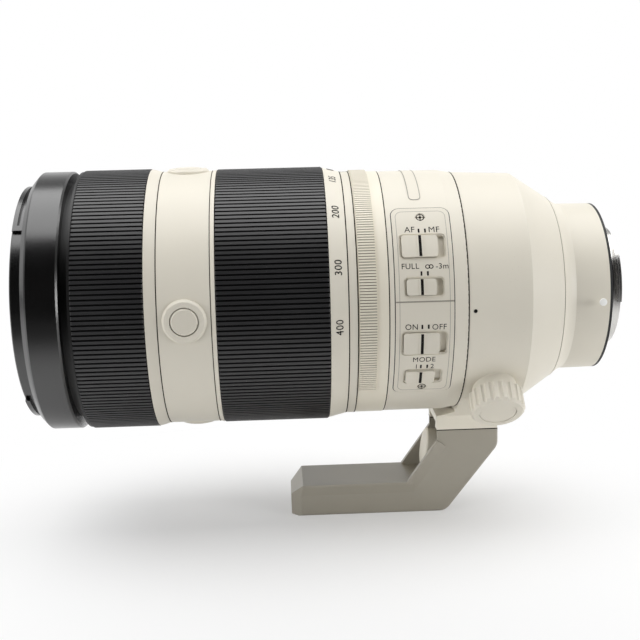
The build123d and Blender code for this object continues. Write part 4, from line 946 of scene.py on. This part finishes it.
class LENS_OT_panel_marks(bpy.types.Operator):
    """Prints the words and ticks of the switch panel and draws its border"""

    bl_idname = "lens.panel_marks"
    bl_label = "Print the switch panel"

    def execute(self, context):
        for name, (text, x, angle, height) in LABELS.items():
            piece = written(name, text, height * MM)
            place_flat(piece, x * MM, angle, PANEL_RADIUS)
            finish_piece(piece, "print_ink", "barrel")
        self.infinity()
        self.ticks()
        middle_x = (PANEL_FRONT_X + PANEL_REAR_X) / 2
        self.lines(middle_x)
        for name, angle in SCREW_ANGLES.items():
            self.screw_mark(name, middle_x, angle)
        return {"FINISHED"}

    def infinity(self):
        """The sign for far away: two rings side by side."""
        rings = [
            flat_ring("label_far", INFINITY_RADIUS, INFINITY_LINE, INFINITY_SEGMENTS, INFINITY_SCALE, x)
            for x in (-INFINITY_RADIUS, INFINITY_RADIUS)
        ]
        sign = join(rings, "label_far")
        place_flat(sign, INFINITY_X, INFINITY_ANGLE, PANEL_RADIUS)
        finish_piece(sign, "print_ink", "barrel")

    def ticks(self):
        for name, angle in TICK_ANGLES.items():
            bars = []
            for x in TICK_PLACES:
                bar = plate(name, TICK_WIDTH, TICK_HEIGHT, TICK_WIDTH * INK_CORNER_SHARE / 2)
                place_flat(bar, x, angle, PANEL_RADIUS)
                bars.append(bar)
            finish_piece(join(bars, name), "print_ink", "barrel")

    def lines(self, x):
        """Seam round the panel, border line inside it and divider between the switch pairs, all painted
        shade.
        """
        wide = PANEL_REAR_X - PANEL_FRONT_X + 2 * PANEL_LINE
        tall = radians(PANEL_HIGH_ANGLE - PANEL_LOW_ANGLE) * SWITCH_RADIUS + 2 * PANEL_LINE
        middle = (PANEL_LOW_ANGLE + PANEL_HIGH_ANGLE) / 2
        # Painted shade: a black band sunk in the gap round the panel
        seam = outline(
            "panel_seam", wide, tall, PANEL_CORNER, PANEL_LINE,
            -PANEL_SEAM_SUNK, PANEL_SEAM_DEPTH, PANEL_STEPS,
        )
        lay_on_lens(seam, x, middle, SWITCH_RADIUS)
        finish_piece(seam, "black_moulding_and_gap_shade", "barrel")
        inset = 2 * (BORDER_INSET + PANEL_LINE)
        corner = PANEL_CORNER - BORDER_INSET / 2
        # Painted shade of the panel's step, drawn as a line inside its edge
        border = outline(
            "panel_border", wide - inset, tall - inset, corner, BORDER_LINE,
            INK_PROUD, INK_DEPTH, PANEL_STEPS,
        )
        lay_on_lens(border, x, middle, PANEL_RADIUS)
        finish_piece(border, "nameplate_line", "barrel")
        length = wide - 3 * PANEL_LINE
        # Painted shade of the step between the two pairs of switches
        divider = plate(
            "panel_divider", length, DIVIDER_HEIGHT, DIVIDER_HEIGHT / 4, -DIVIDER_SUNK, DIVIDER_DEPTH
        )
        place_flat(divider, x, DIVIDER_ANGLE, PANEL_RADIUS)
        finish_piece(divider, "groove_shade", "barrel")

    def screw_mark(self, name, x, angle):
        """Dark ring and middle of a panel screw."""
        ring = flat_ring(name, SCREW_MARK_RADIUS, SCREW_MARK_LINE, SCREW_MARK_SEGMENTS, SCREW_MARK_SCALE)
        centre = dot(name, SCREW_CENTRE_RADIUS, INK_PROUD, INK_DEPTH)
        mark = join([ring, centre], name)
        place_flat(mark, x, angle, SWITCH_RADIUS - SCREW_DEPTH)
        finish_piece(mark, "print_ink", "barrel")


class LENS_OT_sliders(bpy.types.Operator):
    """Adds the ridge and the black line of each slide switch"""

    bl_idname = "lens.sliders"
    bl_label = "Finish the switches"

    def execute(self, context):
        for switch, (angle, tall) in SLIDERS.items():
            ridge = plate(
                f"{switch}_ridge", SLIDER_RIDGE_WIDTH, tall, SLIDER_CORNER,
                SLIDER_RIDGE_PROUD, SLIDER_RIDGE_DEPTH, SLIDER_STEPS,
            )
            edge = ridge.modifiers.new("Edge", "BEVEL")
            edge.width = SLIDER_EDGE
            edge.segments = 2
            edge.limit_method = "ANGLE"
            edge.angle_limit = radians(SLIDER_EDGE_ANGLE)
            apply_all(ridge)
            lay_on_lens(ridge, SLIDER_LINE_X, angle, SLIDER_RADIUS)
            finish_piece(ridge, "white_moulding", switch)
            line = plate(
                f"{switch}_line", SLIDER_LINE_WIDTH, tall * SLIDER_LINE_SHARE, SLIDER_CORNER,
                SLIDER_RIDGE_PROUD + INK_PROUD, INK_DEPTH, SLIDER_STEPS,
            )
            lay_on_lens(line, SLIDER_LINE_X, angle, SLIDER_RADIUS)
            finish_piece(line, "print_ink", switch)
        return {"FINISHED"}


class LENS_OT_index_dots(bpy.types.Operator):
    """Adds the dots that the collar and the mount are lined up by"""

    bl_idname = "lens.index_dots"
    bl_label = "Add index dots"

    def execute(self, context):
        collar = dot("collar_index_dot", COLLAR_DOT_RADIUS, COLLAR_DOT_PROUD, COLLAR_DOT_DEPTH)
        place_flat(collar, COLLAR_DOT_X, 0.0, COLLAR_RADIUS)
        finish_piece(collar, "print_ink", "collar")
        mount = dot("mount_index_dot", MOUNT_DOT_RADIUS, MOUNT_DOT_PROUD, MOUNT_DOT_DEPTH)
        place_flat(mount, MOUNT_DOT_X, MOUNT_DOT_ANGLE, REAR_RADIUS)
        finish_piece(mount, "white_ink", "barrel")
        return {"FINISHED"}


class LENS_OT_seams(bpy.types.Operator):
    """Paints shadow into the thin gaps between the rings and along the edge over the foot"""

    bl_idname = "lens.seams"
    bl_label = "Darken the seams"

    def execute(self, context):
        # Painted shadow: a dark band in each gap between the rings
        for name, (front, rear, radius, finish) in SEAMS.items():
            outer = radius * MM
            inner = outer - SEAM_DEPTH
            corners = [(front * MM, inner), (front * MM, outer), (rear * MM, outer), (rear * MM, inner)]
            seam = turned_ring(name, corners)
            finish_piece(seam, finish, "barrel")
        # Painted shadow: dark strips along the lower edge of the collar's block over the foot
        length = FOOT_SEAM_REAR_X - FOOT_SEAM_FRONT_X
        wide = FOOT_SEAM_OUTER - FOOT_SEAM_INNER
        for name, side in FOOT_SEAM_SIDES.items():
            strip = plate(name, length, wide, FOOT_SEAM_CORNER, FOOT_SEAM_PROUD, FOOT_SEAM_DEPTH)
            place_flat(strip, FOOT_SEAM_FRONT_X + length / 2, -90.0, -BLOCK_BOTTOM_Z)
            strip.location.y = side * (FOOT_SEAM_INNER + wide / 2)
            apply_place(strip)
            finish_piece(strip, "seam_shadow", "collar")
        return {"FINISHED"}


class LENS_OT_nameplate(bpy.types.Operator):
    """Adds the bare nameplate on the switch barrel"""

    bl_idname = "lens.nameplate"
    bl_label = "Add the nameplate"

    def execute(self, context):
        line = context.scene.lens_marks.groove_width
        wide = PLATE_REAR_X - PLATE_FRONT_X
        tall = radians(PLATE_HIGH_ANGLE - PLATE_LOW_ANGLE) * SWITCH_RADIUS
        middle = (PLATE_LOW_ANGLE + PLATE_HIGH_ANGLE) / 2
        x = (PLATE_FRONT_X + PLATE_REAR_X) / 2
        field = plate("nameplate", wide, tall, PLATE_CORNER, PLATE_PROUD, PLATE_DEPTH, PLATE_STEPS)
        lay_on_lens(field, x, middle, SWITCH_RADIUS)
        finish_piece(field, "white_moulding", "barrel")
        border = outline(
            "nameplate_border", wide, tall, PLATE_CORNER, line,
            PLATE_LINE_PROUD, PLATE_LINE_DEPTH, PLATE_STEPS,
        )
        lay_on_lens(border, x, middle, SWITCH_RADIUS)
        finish_piece(border, "nameplate_line", "barrel")
        return {"FINISHED"}


class LENS_OT_front_trim(bpy.types.Operator):
    """Adds the filter thread and the grooved baffle round the front glass"""

    bl_idname = "lens.front_trim"
    bl_label = "Cut the filter thread"

    def execute(self, context):
        points = [(THREAD_FRONT_X, THREAD_RADIUS + THREAD_DEPTH)]
        for turn in range(THREAD_TURNS):
            x = THREAD_FRONT_X + turn * THREAD_PITCH
            points.append((x, THREAD_RADIUS))
            points.append((x + THREAD_PITCH / 2, THREAD_RADIUS - THREAD_DEPTH))
        end = THREAD_FRONT_X + THREAD_TURNS * THREAD_PITCH - THREAD_PITCH / 4
        points.append((end, THREAD_RADIUS))
        points.append((end, THREAD_RADIUS + THREAD_DEPTH))
        thread = turned_ring("filter_thread", points)
        finish_piece(thread, "black_satin_paint", "front_barrel", TRIM_SMOOTH_ANGLE)
        points = [(BAFFLE_FRONT_X, BAFFLE_OUTER)]
        for step in range(BAFFLE_STEPS):
            x = BAFFLE_FRONT_X + step * BAFFLE_STEP
            inner = BAFFLE_OUTER - (step + 1) * BAFFLE_LEDGE
            points.append((x, inner))
            points.append((x + BAFFLE_STEP, inner))
        points.append((BAFFLE_FRONT_X + BAFFLE_STEPS * BAFFLE_STEP, BAFFLE_OUTER))
        baffle = turned_ring("front_baffle", points)
        finish_piece(baffle, "black_moulding_and_gap_shade", "front_barrel", TRIM_SMOOTH_ANGLE)
        return {"FINISHED"}


class LENS_OT_stage(bpy.types.Operator):
    """Sets up the floor, the room, the lights and the camera"""

    bl_idname = "lens.stage"
    bl_label = "Set the stage"

    def execute(self, context):
        stage = context.scene.lens_stage
        scene = context.scene
        scene.view_settings.view_transform = "Standard"
        self.floor(stage)
        self.room(scene, stage)
        side = stage.side_power
        powers = {"top_light": stage.top_power, "left_light": side, "right_light": side}
        for name, (size, place, target) in LAMPS.items():
            self.lamp(name, powers[name], size, place, target)
        self.camera(scene)
        return {"FINISHED"}

    def floor(self, stage):
        clear_selection()
        bpy.ops.mesh.primitive_plane_add(size=stage.floor_size, location=(0.0, 0.0, FLOOR_Z))
        floor = take_new("floor")
        apply_place(floor)
        material = bpy.data.materials.new("floor_paper")
        material.use_nodes = True
        tree = material.node_tree
        tree.nodes.remove(tree.nodes["Principled BSDF"])
        place = object_place(tree)
        centred = add(tree, "ShaderNodeVectorMath", {0: place, 1: FLOOR_SHIFT}, operation="ADD")
        oval = add(
            tree, "ShaderNodeVectorMath", {0: centred.outputs[0], 1: FLOOR_OVAL}, operation="MULTIPLY"
        )
        away = add(tree, "ShaderNodeVectorMath", {0: oval.outputs[0]}, operation="LENGTH").outputs["Value"]
        fade = mapped(tree, away, FLOOR_FADE, (FLOOR_WHITE_SHARE, 1.0), "SMOOTHSTEP")
        # Painted shade: the paper grows darker towards the camera
        near = mapped(tree, split(tree, place)["Y"], FLOOR_NEAR_EDGES, FLOOR_NEAR_PAINTED_SHADE, "SMOOTHSTEP")
        paper = add(tree, "ShaderNodeBsdfDiffuse", {"Color": near})
        white = add(tree, "ShaderNodeEmission", {"Color": (1.0, 1.0, 1.0, 1.0), "Strength": 1.0})
        rays = add(tree, "ShaderNodeLightPath").outputs
        seen = calc(tree, "MULTIPLY", rays["Is Camera Ray"], fade)
        mix = add(tree, "ShaderNodeMixShader", {0: seen, 1: paper.outputs[0], 2: white.outputs[0]})
        tree.links.new(mix.outputs[0], tree.nodes["Material Output"].inputs["Surface"])
        floor.data.materials.append(material)

    def room(self, scene, stage):
        world = bpy.data.worlds.new("room")
        scene.world = world
        world.use_nodes = True
        tree = world.node_tree
        background = tree.nodes["Background"]
        background.inputs["Color"].default_value = (1.0, 1.0, 1.0, 1.0)
        rays = add(tree, "ShaderNodeLightPath").outputs
        plain = calc(tree, "MAXIMUM", rays["Is Camera Ray"], rays["Is Transmission Ray"])
        way = split(tree, add(tree, "ShaderNodeTexCoord").outputs["Generated"])
        behind = mapped(tree, way["Y"], ROOM_SIDES, (stage.near_side, stage.far_side), "SMOOTHSTEP")
        above = mapped(tree, way["Z"], ROOM_HEIGHTS, (1.0, ROOM_OVERHEAD_SHARE), "SMOOTHSTEP")
        sweep = calc(tree, "MULTIPLY", behind, above)
        tree.links.new(mapped(tree, plain, (0.0, 1.0), (sweep, 1.0)), background.inputs["Strength"])

    def lamp(self, name, power, size, place, target):
        clear_selection()
        bpy.ops.object.light_add(type="AREA", location=place)
        lamp = bpy.context.object
        lamp.name = name
        lamp.data.energy = power
        lamp.data.shape = "RECTANGLE"
        lamp.data.size, lamp.data.size_y = size
        aim = Vector(target) - Vector(place)
        lamp.rotation_euler = aim.to_track_quat("-Z", "Y").to_euler()

    def camera(self, scene):
        clear_selection()
        bpy.ops.object.camera_add()
        camera = bpy.context.object
        camera.name = "photo_camera"
        camera.data.lens = CAMERA_LENS
        camera.data.sensor_width = SENSOR_WIDTH
        camera.data.clip_start = CAMERA_CLIP
        back = CAMERA_RIGHT.cross(CAMERA_UP)
        turn = Matrix((CAMERA_RIGHT, CAMERA_UP, back)).transposed()
        camera.matrix_world = Matrix.Translation(CAMERA_PLACE) @ turn.to_4x4()
        scene.camera = camera


class LENS_PT_panel(bpy.types.Panel):
    """Steps and settings of the lens"""

    bl_label = "Telephoto zoom lens"
    bl_idname = "LENS_PT_panel"
    bl_space_type = "VIEW_3D"
    bl_region_type = "UI"
    bl_category = "Lens"

    def draw(self, context):
        layout = self.layout
        for group in (context.scene.lens_finish, context.scene.lens_marks, context.scene.lens_stage):
            for name in group.__annotations__:
                layout.prop(group, name)
        for operator in OPERATORS:
            layout.operator(operator.bl_idname)


OPERATORS = (
    LENS_OT_materials,
    LENS_OT_dress_nodes,
    LENS_OT_zoom_scale,
    LENS_OT_panel_marks,
    LENS_OT_sliders,
    LENS_OT_index_dots,
    LENS_OT_seams,
    LENS_OT_nameplate,
    LENS_OT_front_trim,
    LENS_OT_stage,
)
CLASSES = (LensFinish, LensMarks, LensStage) + OPERATORS + (LENS_PT_panel,)


def register():
    for cls in CLASSES:
        bpy.utils.register_class(cls)
    bpy.types.Scene.lens_finish = bpy.props.PointerProperty(type=LensFinish)
    bpy.types.Scene.lens_marks = bpy.props.PointerProperty(type=LensMarks)
    bpy.types.Scene.lens_stage = bpy.props.PointerProperty(type=LensStage)


def unregister():
    del bpy.types.Scene.lens_finish
    del bpy.types.Scene.lens_marks
    del bpy.types.Scene.lens_stage
    for cls in reversed(CLASSES):
        bpy.utils.unregister_class(cls)


def main():
    register()
    clear_selection()
    bpy.ops.lens.materials()
    bpy.ops.lens.dress_nodes()
    bpy.ops.lens.zoom_scale()
    bpy.ops.lens.panel_marks()
    bpy.ops.lens.sliders()
    bpy.ops.lens.index_dots()
    bpy.ops.lens.seams()
    bpy.ops.lens.nameplate()
    bpy.ops.lens.front_trim()
    bpy.ops.lens.stage()


if __name__ == "__main__":
    main()
